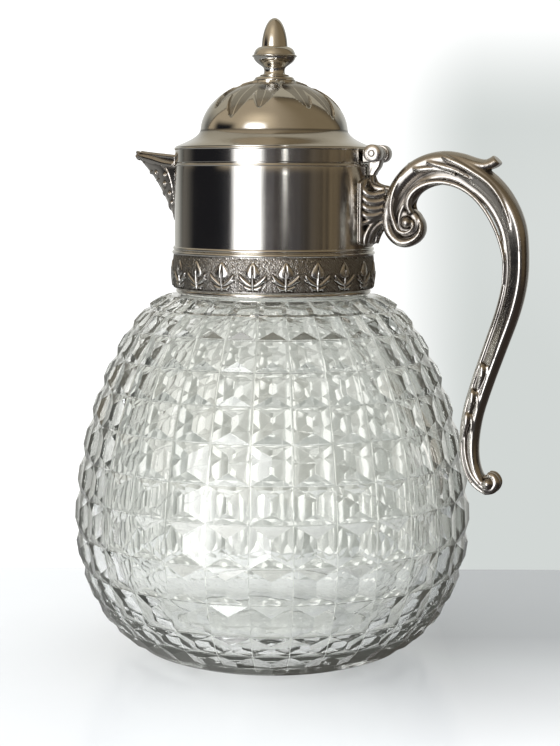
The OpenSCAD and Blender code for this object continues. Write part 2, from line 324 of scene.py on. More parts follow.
def lathe(name, outline, material, segments=180, sharp=34):        # outline in (radius, height)
    outline = np.array(outline, float) * mm
    turns = np.linspace(0, 2 * math.pi, segments, endpoint=False)
    vertices = [(r * math.cos(a), r * math.sin(a), z) for a in turns for r, z in outline]
    faces = gridFaces(segments, len(outline), True, True)
    return newPiece(name, vertices, faces, material, sharp, weld=1e-6)


def layAcross(piece, x, z):        # lays a turned piece along y, with its axis at x and z
    for v in piece.data.vertices:
        v.co = Vector((v.co.x + x * mm, -v.co.z, v.co.y + z * mm))
    return piece


def finishPiece(piece, body, slot, *nodes):
    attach(piece, body)
    if nodes:
        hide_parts(*nodes)
    return piece


# geometry node trees
class GeoTree:
    def __init__(self, name):
        self.tree = bpy.data.node_groups.new(name, "GeometryNodeTree")
        self.sockets = {}
        self.addInput("Geometry", "NodeSocketGeometry")
        self.tree.interface.new_socket("Geometry", in_out="OUTPUT", socket_type="NodeSocketGeometry")
        self.start = self.tree.nodes.new("NodeGroupInput")
        self.end = self.tree.nodes.new("NodeGroupOutput")

    def addInput(self, name, kind):
        self.sockets[name] = self.tree.interface.new_socket(name, in_out="INPUT", socket_type=kind)

    def given(self, name):
        return self.start.outputs[name]

    def node(self, kind, settings=None, out=0, **inputs):
        return addNode(self.tree, kind, settings, **inputs).outputs[out]

    def finish(self, geometry):
        real = self.node("GeometryNodeRealizeInstances", Geometry=geometry)
        dressed = self.node("GeometryNodeSetMaterial", Geometry=real, Material=self.given("Material"))
        self.tree.links.new(dressed, self.end.inputs[0])

    def run(self, piece, values):
        modifier = piece.modifiers.new(self.tree.name, "NODES")
        modifier.node_group = self.tree
        for name, value in values.items():
            modifier[self.sockets[name].identifier] = value
        return settle(piece)


def makeRingTree():        # repeats one sector round the axis and welds the seams
    g = GeoTree("ringOfSectors")
    g.addInput("Count", "NodeSocketInt")
    g.addInput("Start Angle", "NodeSocketFloat")
    g.addInput("Weld", "NodeSocketFloat")
    g.addInput("Material", "NodeSocketMaterial")
    points = g.node("GeometryNodePoints", Count=g.given("Count"))
    index = Field(g.tree, g.node("GeometryNodeInputIndex"))
    turn = index * (2 * math.pi) / Field(g.tree, g.given("Count")) + Field(g.tree, g.given("Start Angle"))
    euler = g.node("ShaderNodeCombineXYZ", Z=turn)
    rotation = g.node("FunctionNodeEulerToRotation", Euler=euler)
    copies = g.node("GeometryNodeInstanceOnPoints", Points=points, Instance=g.given("Geometry"),
                    Rotation=rotation)
    real = g.node("GeometryNodeRealizeInstances", Geometry=copies)
    welded = g.node("GeometryNodeMergeByDistance", Geometry=real, Distance=g.given("Weld"))
    g.finish(welded)
    return g


def makeRibTree():        # sweeps a round rib along each line, as thick as its "thick" attribute says
    g = GeoTree("ribsOnPaths")
    g.addInput("Sides", "NodeSocketInt")
    g.addInput("Material", "NodeSocketMaterial")
    curve = g.node("GeometryNodeMeshToCurve", Mesh=g.given("Geometry"))
    ring = g.node("GeometryNodeCurvePrimitiveCircle", Resolution=g.given("Sides"), Radius=1.0)
    thick = g.node("GeometryNodeInputNamedAttribute", {"data_type": "FLOAT"}, Name="thick")
    g.finish(g.node("GeometryNodeCurveToMesh", Curve=curve, Profile_Curve=ring, Scale=thick, Fill_Caps=True))
    return g


ringTree = makeRingTree()
ribTree = makeRibTree()


def repeatRound(piece, count, firstAngle, weld, material):        # the angle in degrees, the weld in mm
    return ringTree.run(piece, {"Count": count, "Start Angle": math.radians(firstAngle), "Weld": weld * mm,
                                "Material": material})


def ribs(name, paths, material=None, sides=14):        # paths are rows of x, y, z and radius in mm
    mesh = bpy.data.meshes.new(name)
    vertices, edges, thick = [], [], []
    for path in paths:
        first = len(vertices)
        vertices += [tuple(p[:3] * mm) for p in path]
        thick += [p[3] * mm for p in path]
        edges += [(first + i, first + i + 1) for i in range(len(path) - 1)]
    mesh.from_pydata(vertices, edges, [])
    mesh.attributes.new("thick", "FLOAT", "POINT").data.foreach_set("value", thick)
    return ribTree.run(linked(name, mesh), {"Sides": sides, "Material": material})


def ball(name, centre, radius):
    mesh = bpy.data.meshes.new(name)
    with editing(mesh) as work:
        bmesh.ops.create_uvsphere(work, u_segments=32, v_segments=20, radius=radius * mm)
        for v in work.verts:
            v.co = Vector(centre) * mm + v.co
    return linked(name, mesh)


def ovalSweep(name, stations, profile, sides=48):        # stations: x, z, thickness, width
    rows = []
    p = np.array(stations, float)
    for i in range(len(p)):
        ahead = p[min(i + 1, len(p) - 1), :2] - p[max(i - 1, 0), :2]
        ahead = ahead / np.linalg.norm(ahead)
        side = np.array([-ahead[1], ahead[0]])
        for a in np.linspace(0, 2 * math.pi, sides, endpoint=False):
            out, wide = profile(a)
            x, z = p[i, :2] + side * out * p[i, 2] / 2
            rows.append((x * mm, wide * p[i, 3] / 2 * mm, z * mm))
    faces = gridFaces(len(p), sides, False, True)
    faces += [tuple(range(sides))[::-1], tuple((len(p) - 1) * sides + k for k in range(sides))]
    return newPiece(name, rows, faces, weld=1e-7)


def castTogether(name, parts, grain, soften, material):        # melts overlapping parts into one casting
    mesh = bpy.data.meshes.new(name)
    with editing(mesh) as work:
        for part in parts:
            work.from_mesh(part.data)
            bpy.data.objects.remove(part)
    piece = linked(name, mesh)
    remesh = piece.modifiers.new("melt", "REMESH")
    remesh.mode = "VOXEL"
    remesh.voxel_size = grain * mm
    smooth = piece.modifiers.new("soften", "SMOOTH")
    smooth.factor = 0.5
    smooth.iterations = soften
    settle(piece)
    piece.data.materials.clear()
    piece.data.materials.append(material)
    piece.data.shade_smooth()
    markHollows(piece, 14, 0.22)
    return piece


def markHollows(piece, rounds, depth):        # stores how deep each point lies in a groove
    mesh = piece.data
    count = len(mesh.vertices)
    here = np.empty(count * 3)
    mesh.vertices.foreach_get("co", here)
    here = here.reshape(-1, 3)
    edges = np.empty(len(mesh.edges) * 2, int)
    mesh.edges.foreach_get("vertices", edges)
    a, b = edges.reshape(-1, 2).T
    links = np.maximum(np.bincount(a, minlength=count) + np.bincount(b, minlength=count), 1)[:, None]
    spread = here.copy()
    for _ in range(rounds):
        total = np.zeros_like(spread)
        np.add.at(total, a, spread[b])
        np.add.at(total, b, spread[a])
        spread = total / links
    normals = np.empty(count * 3)
    mesh.vertex_normals.foreach_get("vector", normals)
    rise = ((spread - here) * normals.reshape(-1, 3)).sum(1)
    hollow = np.clip(rise / (depth * mm), 0, 1)
    mesh.attributes.new("hollow", "FLOAT", "POINT").data.foreach_set("value", hollow)


# relief drawing
def lobe(u, v, start, end, width, height, bend=0.0, crease=0.0, tip=0.75, root=0.5):
    # height of one pointed leaf lobe over the plane of u and v, in mm
    start, end = np.array(start, float), np.array(end, float)
    along = end - start
    length = np.linalg.norm(along)
    along = along / length
    a = ((u - start[0]) * along[0] + (v - start[1]) * along[1]) / length
    b = -(u - start[0]) * along[1] + (v - start[1]) * along[0]
    inside = np.clip(a, 0, 1)
    b = b - bend * 4 * inside * (1 - inside)
    shape = inside ** root * (1 - inside) ** tip
    peak = (root / (root + tip)) ** root * (tip / (root + tip)) ** tip
    half = np.maximum(width * shape / peak, 1e-3)
    t = np.clip(np.abs(b) / half, 0, 1)
    rise = height * np.sqrt(1 - t ** 2) * np.clip(half / (0.35 * width), 0, 1)
    rise = rise * (1 - crease * np.exp(-(b / (0.16 * width)) ** 2))
    return np.where((a > 0) & (a < 1), rise, 0.0)


def stacked(reliefs):        # overlapping lobes: the highest shows
    return np.max(np.stack(reliefs), axis=0)


def sectorPiece(name, rows, closing, angle, columns, relief):
    # rows: outline with outward normals (radius, height, nr, nz); closing: plain outline back to the start
    turns = np.linspace(-angle / 2, angle / 2, columns + 1)
    outline = np.array(rows, float)
    t, r = np.meshgrid(turns, outline[:, 0], indexing="ij")
    z = np.broadcast_to(outline[:, 1], r.shape)
    lift, ground = relief(t, z)
    radius = r + lift * outline[:, 2]
    level = z + lift * outline[:, 3]
    back = np.array(closing, float)
    radius = np.hstack([radius, np.broadcast_to(back[:, 0], (columns + 1, len(back)))])
    level = np.hstack([level, np.broadcast_to(back[:, 1], (columns + 1, len(back)))])
    ground = np.hstack([ground, np.zeros((columns + 1, len(back)))])
    spread = turns[:, None] * np.ones_like(radius)
    vertices = np.stack([radius * np.cos(spread), radius * np.sin(spread), level], -1).reshape(-1, 3) * mm
    faces = [f[::-1] for f in gridFaces(columns + 1, radius.shape[1], False, True)]
    piece = newPiece(name, vertices, faces)
    piece.data.attributes.new("ground", "FLOAT", "POINT").data.foreach_set("value", ground.ravel())
    return piece


def withNormals(points):        # outline points with the normal to the left of travel turned outwards
    p = np.array(points, float)
    ahead = np.gradient(p, axis=0)
    ahead /= np.linalg.norm(ahead, axis=1)[:, None]
    return np.column_stack([p, ahead[:, 1], -ahead[:, 0]])


# glass jug
glassR, _, neckTop = span("glass_jug")
glass = dict(
    columns=30,
    firstColumn=-70.0,   # where the middle of the first column points
    baseR=41.0,
    bellyZ=53.8,
    shoulderZ=146.6,
    neckR=35.4,
    wall=5.2,
    floor=9.0,
    rowLines=[5.1, 12.8, 21.8, 35.5, 50.3, 66.7, 81.1, 96.1, 109.7, 122.0, 133.5, 142.2],
    depth=1.35,         # of the valleys between the cells
    channel=0.55,        # half width of the flat strip between columns
    ledge=0.3,           # half height of the flat strip between rows
    hip=0.30,            # share of the height taken by each end slope
    bevel=0.22,
    scoop=1.5,           # depth of the arches under the mount
)


def glassOutline(inset, floorZ):
    g = glass
    low = arcPoints((g["baseR"], g["bellyZ"]), glassR - g["baseR"] - inset, g["bellyZ"] - floorZ, -90, 0, 40)
    high = bezierPoints((glassR - inset, g["bellyZ"]), (glassR - inset, 94), (60 - inset, 148.5 - inset),
                        (g["neckR"] + 4 - inset * 1.6, g["shoulderZ"] - (inset - 2 if inset else 0)), 60)
    return low + high[1:]


def glassSector():
    g = glass
    outer = glassOutline(0, 0)
    rows = withNormals(outer)
    half = math.pi / g["columns"]
    lines = g["rowLines"]
    gaps = np.diff(lines)
    across = np.linspace(-half, half, 7)
    vertices, faces = [], []

    def put(turn, level, sink, sideways=0.0):
        r, z, nr, nz = [np.interp(level, rows[:, 1], rows[:, k]) for k in range(4)]
        r, z = r - sink * nr, z - sink * nz
        turn = turn + sideways / r
        vertices.append((r * math.cos(turn) * mm, r * math.sin(turn) * mm, z * mm))
        return len(vertices) - 1

    def sinkAt(i):        # small cells are shallower
        near = [gaps[k] for k in (i - 1, i) if 0 <= k < len(gaps)]
        return g["depth"] * min(1.0, min(near) / 11)

    def seam(i):        # points along a row line; the first and last meet the plain stretches
        turns = across if i in (0, len(lines) - 1) else (-half, 0, half)
        return [put(t, lines[i], sinkAt(i)) for t in turns]

    low = seam(0)
    for k, rise in enumerate(gaps):
        high = seam(k + 1)
        bottom, top = lines[k] + g["ledge"], lines[k + 1] - g["ledge"]
        a = put(-half, bottom, sinkAt(k), g["channel"])
        b = put(half, bottom, sinkAt(k), -g["channel"])
        c = put(half, top, sinkAt(k + 1), -g["channel"])
        d = put(-half, top, sinkAt(k + 1), g["channel"])
        ridgeLow = put(0, lines[k] + rise * g["hip"], 0)
        ridgeHigh = put(0, lines[k + 1] - rise * g["hip"], 0)
        faces += [(a, b, ridgeLow), (c, d, ridgeHigh)]
        faces += [(b, c, ridgeHigh, ridgeLow), (d, a, ridgeLow, ridgeHigh)]
        faces += [(*low, b, a), (*high[::-1], d, c), (low[-1], high[-1], c, b), (high[0], low[0], a, d)]
        low = high

    def plainStrip(points, scoop):        # a stretch of plain surface, from the outline's points
        p = np.array(points, float)
        first = len(vertices)
        for i, (r, z) in enumerate(p):
            for t in across:
                s = scoop(i, t / half)
                vertices.append(((r - s) * math.cos(t) * mm, (r - s) * math.sin(t) * mm, (z - s / 2) * mm))
        faces.extend(tuple(first + k for k in face) for face in gridFaces(len(p), len(across)))

    def sunk(i):        # the outline's point at the floor of a row line
        r, z, nr, nz = [np.interp(lines[i], rows[:, 1], rows[:, k]) for k in range(4)]
        return r - sinkAt(i) * nr, z - sinkAt(i) * nz

    base = [(0, 1.6), (g["baseR"] - 11, 1.6), (g["baseR"] - 8.6, 0.3), (g["baseR"] - 8, 0)]
    base += [tuple(p) for p in outer if p[1] < lines[0] - 1.2] + [sunk(0)]
    plainStrip(base, lambda i, c: 0.0)
    shoulder = [tuple(p) for p in outer if p[1] > lines[-1] + 0.15]
    count = len(shoulder)
    neck = [(g["neckR"] + 1.2, g["shoulderZ"] + 0.1), (g["neckR"], g["shoulderZ"] + 0.7)]
    neck += [(g["neckR"], neckTop - 2)]
    neck += arcPoints((g["neckR"] - 2, neckTop - 2), 2, 2, 20, 180, 6)
    bore = [(g["neckR"] - 4, g["shoulderZ"] + 3)]
    inner = glassOutline(g["wall"], g["floor"])[::-1]

    def arches(i, c):        # scoops that run out under the mount
        along = min(1.0, i / count)
        swell = g["scoop"] * math.sin(math.pi * along ** 0.6) * math.sqrt(max(0, 1 - c * c))
        return swell * (1 - along ** 3)

    plainStrip([sunk(len(lines) - 1)] + shoulder + neck + bore + inner + [(0.0, g["floor"])], arches)
    return newPiece("glassJug", vertices, faces)


def bevelled(piece, width, angle):        # takes the knife edge off every sharp edge
    with editing(piece.data) as work:
        bmesh.ops.remove_doubles(work, verts=work.verts, dist=0.004 * mm)
        bmesh.ops.recalc_face_normals(work, faces=work.faces)
        limit = math.radians(angle)
        sharp = [e for e in work.edges if len(e.link_faces) == 2 and e.calc_face_angle() > limit]
        bmesh.ops.bevel(work, geom=sharp, offset=width * mm, segments=1, profile=0.5, affect="EDGES",
                        clamp_overlap=True)


def closed(piece, weld, sharp):        # welds the seams, turns the faces outward and smooths
    with editing(piece.data) as work:
        bmesh.ops.remove_doubles(work, verts=work.verts, dist=weld * mm)
        bmesh.ops.dissolve_degenerate(work, edges=work.edges, dist=0.0005 * mm)
        bmesh.ops.recalc_face_normals(work, faces=work.faces)
    return smoothed(piece, sharp)


jug = glassSector()
bevelled(jug, glass["bevel"], 10)
repeatRound(jug, glass["columns"], glass["firstColumn"], 0.01, clearGlass)
closed(jug, 0.01, 7)
finishPiece(jug, "jug", "pressed_glass", "glass_jug")
jug.visible_shadow = False        # the glass throws no shadow on the table
print("glass jug:", len(jug.data.polygons), "faces")


# mount
sleeveR, sleeveLow, sleeveTop = span("collar_sleeve")
_, bandLow, bandTop = span("foliate_band")
mount = dict(
    sleeveWall=0.9,
    windowLow=178.5,     # pouring window behind the spout
    windowHigh=195.8,
    ledgeHeight=0.75,    # radius of the moulding over the band
    beadHeight=0.7,
    wire=0.4,
)
sleeveIn = sleeveR - mount["sleeveWall"]


def carve(piece, cutter):        # cuts one closed mesh out of another
    cut = piece.modifiers.new("carve", "BOOLEAN")
    cut.object = cutter
    cut.operation = "DIFFERENCE"
    cut.solver = "EXACT"
    settle(piece)
    bpy.data.objects.remove(cutter)
    return piece


def prism(outline, x0, x1):        # an outline in (y, z), drawn out along x
    count = len(outline)
    vertices = [(x * mm, y * mm, z * mm) for x in (x0, x1) for y, z in outline]
    faces = [tuple(range(count))[::-1], tuple(range(count, 2 * count))]
    faces += [(i, (i + 1) % count, count + (i + 1) % count, count + i) for i in range(count)]
    return newPiece("cutter", vertices, faces, weld=1e-7)


def roundEdge(r, z, size, start, end, count=6):
    return arcPoints((r, z), size, size, start, end, count)


def collarSleeve():
    m = mount
    walls = [(sleeveR, z) for z in np.linspace(sleeveLow, sleeveTop - 0.3, 12)]
    outline = walls + roundEdge(sleeveR - 0.3, sleeveTop - 0.3, 0.3, 15, 90) + [(sleeveIn, sleeveTop)]
    piece = lathe("collarSleeve", outline + [(sleeveIn, sleeveLow)], sheetSilver, 240)
    window = [(-3, m["windowLow"]), (3, m["windowLow"]), (9.5, 193.3), (9.5, m["windowHigh"]),
              (-9.5, m["windowHigh"]), (-9.5, 193.3)]
    carve(piece, prism(window, -sleeveR - 2, -sleeveR / 2))
    smoothed(piece, 34)
    return finishPiece(piece, "jug", "silver_plate", "collar_sleeve")


def footRing():
    r, low, top = span("collar_foot_ring")
    outline = [(sleeveIn - 2, top), (sleeveIn - 2, low)]
    outline += arcPoints((r - 1.5, (low + top) / 2), 1.5, (top - low) / 2, -90, 90, 16)
    return finishPiece(lathe("footRing", outline, spunSilver), "jug", "silver_plate", "collar_foot_ring")


def topMoulding():
    r, low, top = span("band_top_moulding")
    step, bead = mount["ledgeHeight"], mount["beadHeight"]
    outline = [(sleeveR, low)] + arcPoints((r - 0.75, low + step), 0.75, step, -90, 90, 14)
    outline += arcPoints((sleeveR + 0.1, low + 2 * step + 0.2 + bead), 0.55, bead, -90, 90, 12)
    piece = lathe("bandMoulding", outline + [(sleeveR, top)], spunSilver)
    return finishPiece(piece, "jug", "silver_plate", "band_top_moulding")


def rimWire():        # stops at the sides of the spout
    _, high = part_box("spout")
    gap = high.y / mm + 0.3
    wire = mount["wire"]
    ends = math.pi - math.asin(gap / sleeveR)
    turns = np.linspace(-ends, ends, 161)
    path = [(sleeveR * math.cos(a), sleeveR * math.sin(a), sleeveTop - 0.8, wire) for a in turns]
    piece = ribs("rimWire", [np.array(path)], spunSilver, 12)
    return finishPiece(closed(piece, 0.001, 50), "jug", "silver_plate", "collar_rim_wire")


collarSleeve()
footRing()
topMoulding()
rimWire()
print("plain mount ready")


# leaf band
band = dict(
    leaves=20,
    firstLeaf=-63.0,     # world angle of the first leaf
    ground=40.45,        # radius of the stippled ground at its edges
    swell=0.5,
    relief=0.72,
    pebble=0.2,
    pebbles=10,
    columns=66,
    rows=52,
)


def bandRelief(turn, level):
    b = band
    u = turn * sleeveR
    v = level - bandLow
    parts = [lobe(u, v, (0, 5.4), (0, 12.4), 2.85, 0.62, crease=0.4, tip=1.3, root=0.42),
             lobe(u, v, (0, 0.7), (0, 8.8), 0.55, 0.74, tip=0.5, root=0.2)]
    for side in (-1, 1):
        parts.append(lobe(u, v, (side * 0.2, 2.6), (side * 5.3, 7.0), 0.9, 0.62, bend=side * -0.65,
                          tip=0.75, root=0.6))
        parts.append(lobe(u, v, (side * 3.3, 4.6), (side * 5.5, 4.9), 0.55, 0.5, bend=side * -0.2, tip=0.7))
        parts.append(lobe(u, v, (side * 0.1, 1.4), (side * 3.5, 2.7), 0.65, 0.56, bend=side * -0.4, tip=0.6))
        parts.append(lobe(u, v, (side * 1.6, 1.7), (side * 2.6, 0.6), 0.45, 0.5, tip=0.6))
    leaf = stacked(parts) * b["relief"] / 0.62
    ground = np.clip(1 - leaf / 0.16, 0, 1)
    p = turn * b["leaves"]
    grains = np.sin(b["pebbles"] * p + 2.9 * v + 1.7 * np.sin(4 * p))
    grains = np.abs(grains * np.sin(7 * p - 4.6 * v + 1.3 * np.sin(3.1 * v))) ** 0.8
    edge = np.clip(np.minimum(level - bandLow, bandTop - level) / 0.7, 0, 1)
    border = 0.25 * np.exp(-(np.minimum(level - bandLow, bandTop - level) / 0.35) ** 2)
    return (leaf * edge + b["pebble"] * grains * ground * edge + border), ground * edge


def leafBand():
    b = band
    middle, half = (bandLow + bandTop) / 2, (bandTop - bandLow) / 2
    turns = np.linspace(-1, 1, b["rows"] + 1)
    outline = [(b["ground"] + b["swell"] * math.cos(math.pi / 2 * t), middle + half * t) for t in turns]
    closing = [(sleeveR, bandTop), (sleeveR, bandLow)]
    piece = sectorPiece("leafBand", withNormals(outline), closing, 2 * math.pi / b["leaves"], b["columns"],
                        bandRelief)
    repeatRound(piece, b["leaves"], b["firstLeaf"], 0.002, bandSilver)
    closed(piece, 0.002, 60)
    markHollows(piece, 5, 0.045)
    return finishPiece(piece, "jug", "band_silver", "foliate_band")


leafBand()
print("leaf band ready")


# lid
lidR, skirtLow, skirtTop = span("lid_skirt")
_, _, domeTop = span("lid_dome")
lid = dict(
    sheet=0.9,
    domeR=29.8,
    domeRise=21.7,
    creaseAbove=6.9,     # height of the crease above the rim wire
    wire=0.5,
    leaves=4,
    firstLeaf=-106.0,    # world angle of the first leaf's midrib
    relief=1.38,
    columns=140,
)
rimTop = skirtTop + 2 * lid["wire"]
creaseZ = rimTop + lid["creaseAbove"]


def domeLine(inset, steps):        # from the finial's edge over the dome and down the flare
    d = lid
    dome = arcPoints((0, creaseZ - 0.9), d["domeR"] - inset, d["domeRise"] - inset, 72.5, 3, steps)
    r = d["domeR"] - inset
    flare = bezierPoints((r, creaseZ - 0.2 - inset / 2), (d["domeR"] + 1.4 - inset, creaseZ - 3.4 - inset),
                         (d["domeR"] + 6.8 - inset, rimTop + 1.9 - inset),
                         (lidR - 0.2 - inset, rimTop + 0.3 - inset / 3), steps // 3)
    return dome + flare


def domeRelief(turn, level):
    d = lid
    line = np.array([(0, domeTop)] + domeLine(0, 60))
    gaps = np.r_[0, np.cumsum(np.hypot(*np.diff(line, axis=0).T))]
    far = np.interp(-level, -line[:, 1], gaps)
    u, v = far * np.sin(turn), far * np.cos(turn)
    high = d["relief"]
    parts = [lobe(u, v, (0, 8), (0, 35.5), 5.8, high, crease=0.4, tip=0.8, root=0.7)]
    for side in (-1, 1):
        parts.append(lobe(u, v, (side * 1.5, 8), (side * 12.4, 28.5), 4.9, high * 0.95, bend=side * -1.6,
                          crease=0.35, tip=0.7, root=0.6))
        parts.append(lobe(u, v, (side * 2, 8.6), (side * 13.2, 19.4), 3.1, high * 0.9, bend=side * -1.6,
                          crease=0.3, tip=0.55, root=0.5))
    return stacked(parts), np.zeros_like(turn)


def lidDome():
    d = lid
    wall = d["sheet"]
    outline = [(1.7, domeTop), (5, domeTop), (8.7, domeTop)] + domeLine(0, 96) + [(lidR - 0.2, rimTop)]
    closing = [(lidR - 1.4, rimTop)] + domeLine(wall, 30)[::-1]
    closing += [(8.4, domeTop - wall), (1.7, domeTop - wall)]
    piece = sectorPiece("lidDome", withNormals(outline), closing, 2 * math.pi / d["leaves"], d["columns"],
                        domeRelief)
    repeatRound(piece, d["leaves"], d["firstLeaf"], 0.002, domeSilver)
    closed(piece, 0.002, 42)
    markHollows(piece, 5, 0.09)
    return finishPiece(piece, "lid", "silver_plate", "lid_dome")


def lidWire():
    wire = lid["wire"]
    outline = [(lidR - 1.6, skirtTop)] + arcPoints((lidR - 0.2, skirtTop + wire), wire, wire, -90, 90, 14)
    piece = lathe("lidWire", outline + [(lidR - 1.6, rimTop)], spunSilver)
    return finishPiece(piece, "lid", "silver_plate", "lid_rim_wire")


def lidSkirt():
    wall = lid["sheet"]
    outline = roundEdge(lidR - 0.2, skirtLow + 0.2, 0.2, -90, 0, 4)
    outline += [(lidR, z) for z in np.linspace(skirtLow + 0.4, skirtTop, 4)]
    piece = lathe("lidSkirt", outline + [(lidR - wall, skirtTop), (lidR - wall, skirtLow)], sheetSilver, 240)
    return finishPiece(piece, "lid", "silver_plate", "lid_skirt")


lidDome()
lidWire()
lidSkirt()
print("lid ready")


# finial
def finialFoot():
    r, low, top = span("finial_foot")
    outline = [(1.7, low), (r - 0.15, low), (r, low + 0.15), (r, low + 0.35), (r - 0.3, low + 0.5)]
    outline += arcPoints((6.6, low + 0.5), 1.5, 1.2, 5, 82, 8)
    outline += [(6.3, low + 1.8)] + arcPoints((5.5, low + 2.1), 0.4, 0.4, -40, 90, 8) + [(1.7, top)]
    piece = lathe("finialFoot", outline, spunSilver, 96, 30)
    return finishPiece(piece, "lid", "silver_plate", "finial_foot")


def finialKnob():
    r, low, top = span("finial_knob")
    lip = low + 7.4
    outline = [(0, low + 6.6), (1.5, low + 6.6), (1.5, low)]
    outline += arcPoints((6.4, low + 1.5), 2.2, 2.4, 216, 140, 14)
    outline += bezierPoints((5.2, low + 3.4), (6.2, low + 4.2), (8, low + 5), (8.6, lip - 0.45), 14)
    outline += arcPoints((r - 0.3, lip), 0.3, 0.32, -90, 90, 8)
    outline += bezierPoints((8.45, lip + 0.5), (8.1, lip + 2.2), (7.3, lip + 3.2), (5.9, lip + 3.6), 14)
    outline += bezierPoints((5.25, lip + 3.75), (5.0, lip + 9.4), (3.1, top), (0, top), 28)
    piece = lathe("finialKnob", outline, spunSilver, 96, 24)
    return finishPiece(piece, "lid", "silver_plate", "finial_knob")


finialFoot()
finialKnob()
print("finial ready")


# spout
spoutLow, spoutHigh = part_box("spout")
spout = dict(
    reach=-spoutLow.x / mm,
    footZ=spoutLow.z / mm,
    tipZ=spoutHigh.z / mm,
    halfWidth=spoutHigh.y / mm,
    wall=1.2,
    bead=0.95,
    grain=0.26,
)
keelLine = [(0, spout["footZ"]), (0.32, 184), (0.5, 191), (0.74, 196.4), (0.86, 200), (1, 201.6)]
widthLine = [(0, spout["halfWidth"]), (0.3, spout["halfWidth"] - 3), (0.7, 6.4), (0.9, 4.6), (1, 2.4)]


def troughPoint(t, k, inset=0.0, lift=0.0):        # t from the sleeve to the tip, k from -1 to 1 across
    s = spout
    root = sleeveR + 0.05
    w = np.interp(t, *np.array(widthLine).T) - inset
    low = np.interp(t, *np.array(keelLine).T) + inset * (1.1 + 1.6 * (1 - t))
    top = sleeveTop + 3 + (s["tipZ"] - sleeveTop - 3) * t
    end = s["reach"] - 0.25 - (0.9 * t if inset else 0)
    y = (w + lift) * math.sin(math.pi / 2 * k)
    z = low + (top - low) * abs(k) ** 1.7 - lift * (1 - abs(k))
    start = math.sqrt(root ** 2 - min(abs(y), root) ** 2)
    return -(start + (end - start) * t), y, z


def buildSpout():
    s = spout
    steps, across = 44, 48
    rows = []
    for t in np.linspace(0, 1, steps + 1):
        ks = np.linspace(-1, 1, across + 1)
        ring = [troughPoint(t, k, 0.25) for k in ks] + [troughPoint(t, k, s["wall"] + 0.1) for k in ks[::-1]]
        rows += [tuple(c * mm for c in p) for p in ring]
    m = 2 * (across + 1)
    faces = gridFaces(steps + 1, m, False, True)
    for i in range(across):
        faces.append((i, i + 1, m - 2 - i, m - 1 - i))
        last = steps * m
        faces.append((last + i + 1, last + i, last + m - 1 - i, last + m - 2 - i))
    parts = [newPiece("trough", rows, faces, weld=1e-7)]
    paths = []
    for side in (-1, 1):
        # rolled lip along the top edge, and the broad moulding under it
        edge = ((0, 0.5), (0.3, 0.55), (0.6, 0.6), (0.85, 0.65), (1, 0.8))
        lip = [(*troughPoint(t, side, 0.55), r) for t, r in edge]
        paths.append(smoothPath([(x, y, z - 0.5, r) for x, y, z, r in lip], 8))
        roll = [(0.02, 0.93, 1.1), (0.25, 0.9, 1.45), (0.5, 0.86, 1.5), (0.75, 0.8, 1.35), (0.94, 0.7, 1.1)]
        paths.append(smoothPath([(*troughPoint(t, side * k, 0.6), r) for t, k, r in roll], 8))
        # the ridge that curves from the nose down to the foot beside the sleeve
        ridge = [(0.97, 0.5, 0.5), (0.8, 0.66, 0.6), (0.56, 0.78, 0.6), (0.36, 0.86, 0.55), (0.2, 0.85, 0.5),
                 (0.09, 0.74, 0.45), (0.04, 0.56, 0.4), (0.02, 0.3, 0.4)]
        paths.append(smoothPath([(*troughPoint(t, side * k, 0.3), r) for t, k, r in ridge], 8))
        # leaf lobes that step down along the keel
        for t, k, reach, r in ((0.84, 0.2, 0.10, 0.85), (0.66, 0.2, 0.13, 0.9), (0.5, 0.22, 0.13, 0.85),
                               (0.34, 0.24, 0.12, 0.8), (0.2, 0.26, 0.1, 0.7), (0.1, 0.22, 0.07, 0.55)):
            lobePath = [(t - reach, k + 0.34, r * 0.35), (t - reach * 0.4, k + 0.2, r * 0.8), (t, k, r),
                        (t + reach * 0.1, k - 0.16, r * 0.7)]
            paths.append(smoothPath([(*troughPoint(a, side * b, 0.35), c) for a, b, c in lobePath], 5))
    nose = [(-s["reach"] + 1.25, y, z, 0.95) for y, z in ((-2.2, s["tipZ"] - 1.6), (-1.4, s["tipZ"] - 2.4),
            (0, s["tipZ"] - 2.9), (1.4, s["tipZ"] - 2.4), (2.2, s["tipZ"] - 1.6))]
    paths.append(smoothPath(nose, 5))
    middle = ((0.02, 0.5), (0.3, 0.7), (0.55, 0.8), (0.8, 0.85), (0.95, 0.7))
    paths.append(smoothPath([(*troughPoint(t, 0, 0.3), r) for t, r in middle], 6))
    parts.append(ribs("spoutRibs", paths))
    for side in (-1, 1):
        for t, k in ((0.46, 0.61), (0.23, 0.77), (0.25, 0.64), (0.14, 0.60), (0.09, 0.53)):
            parts.append(ball("bead", troughPoint(t, side * k, -0.1), s["bead"]))
    piece = castTogether("spoutCasting", parts, s["grain"], 4, castSilver)
    return finishPiece(piece, "jug", "cast_silver", "spout")


buildSpout()
print("spout ready")


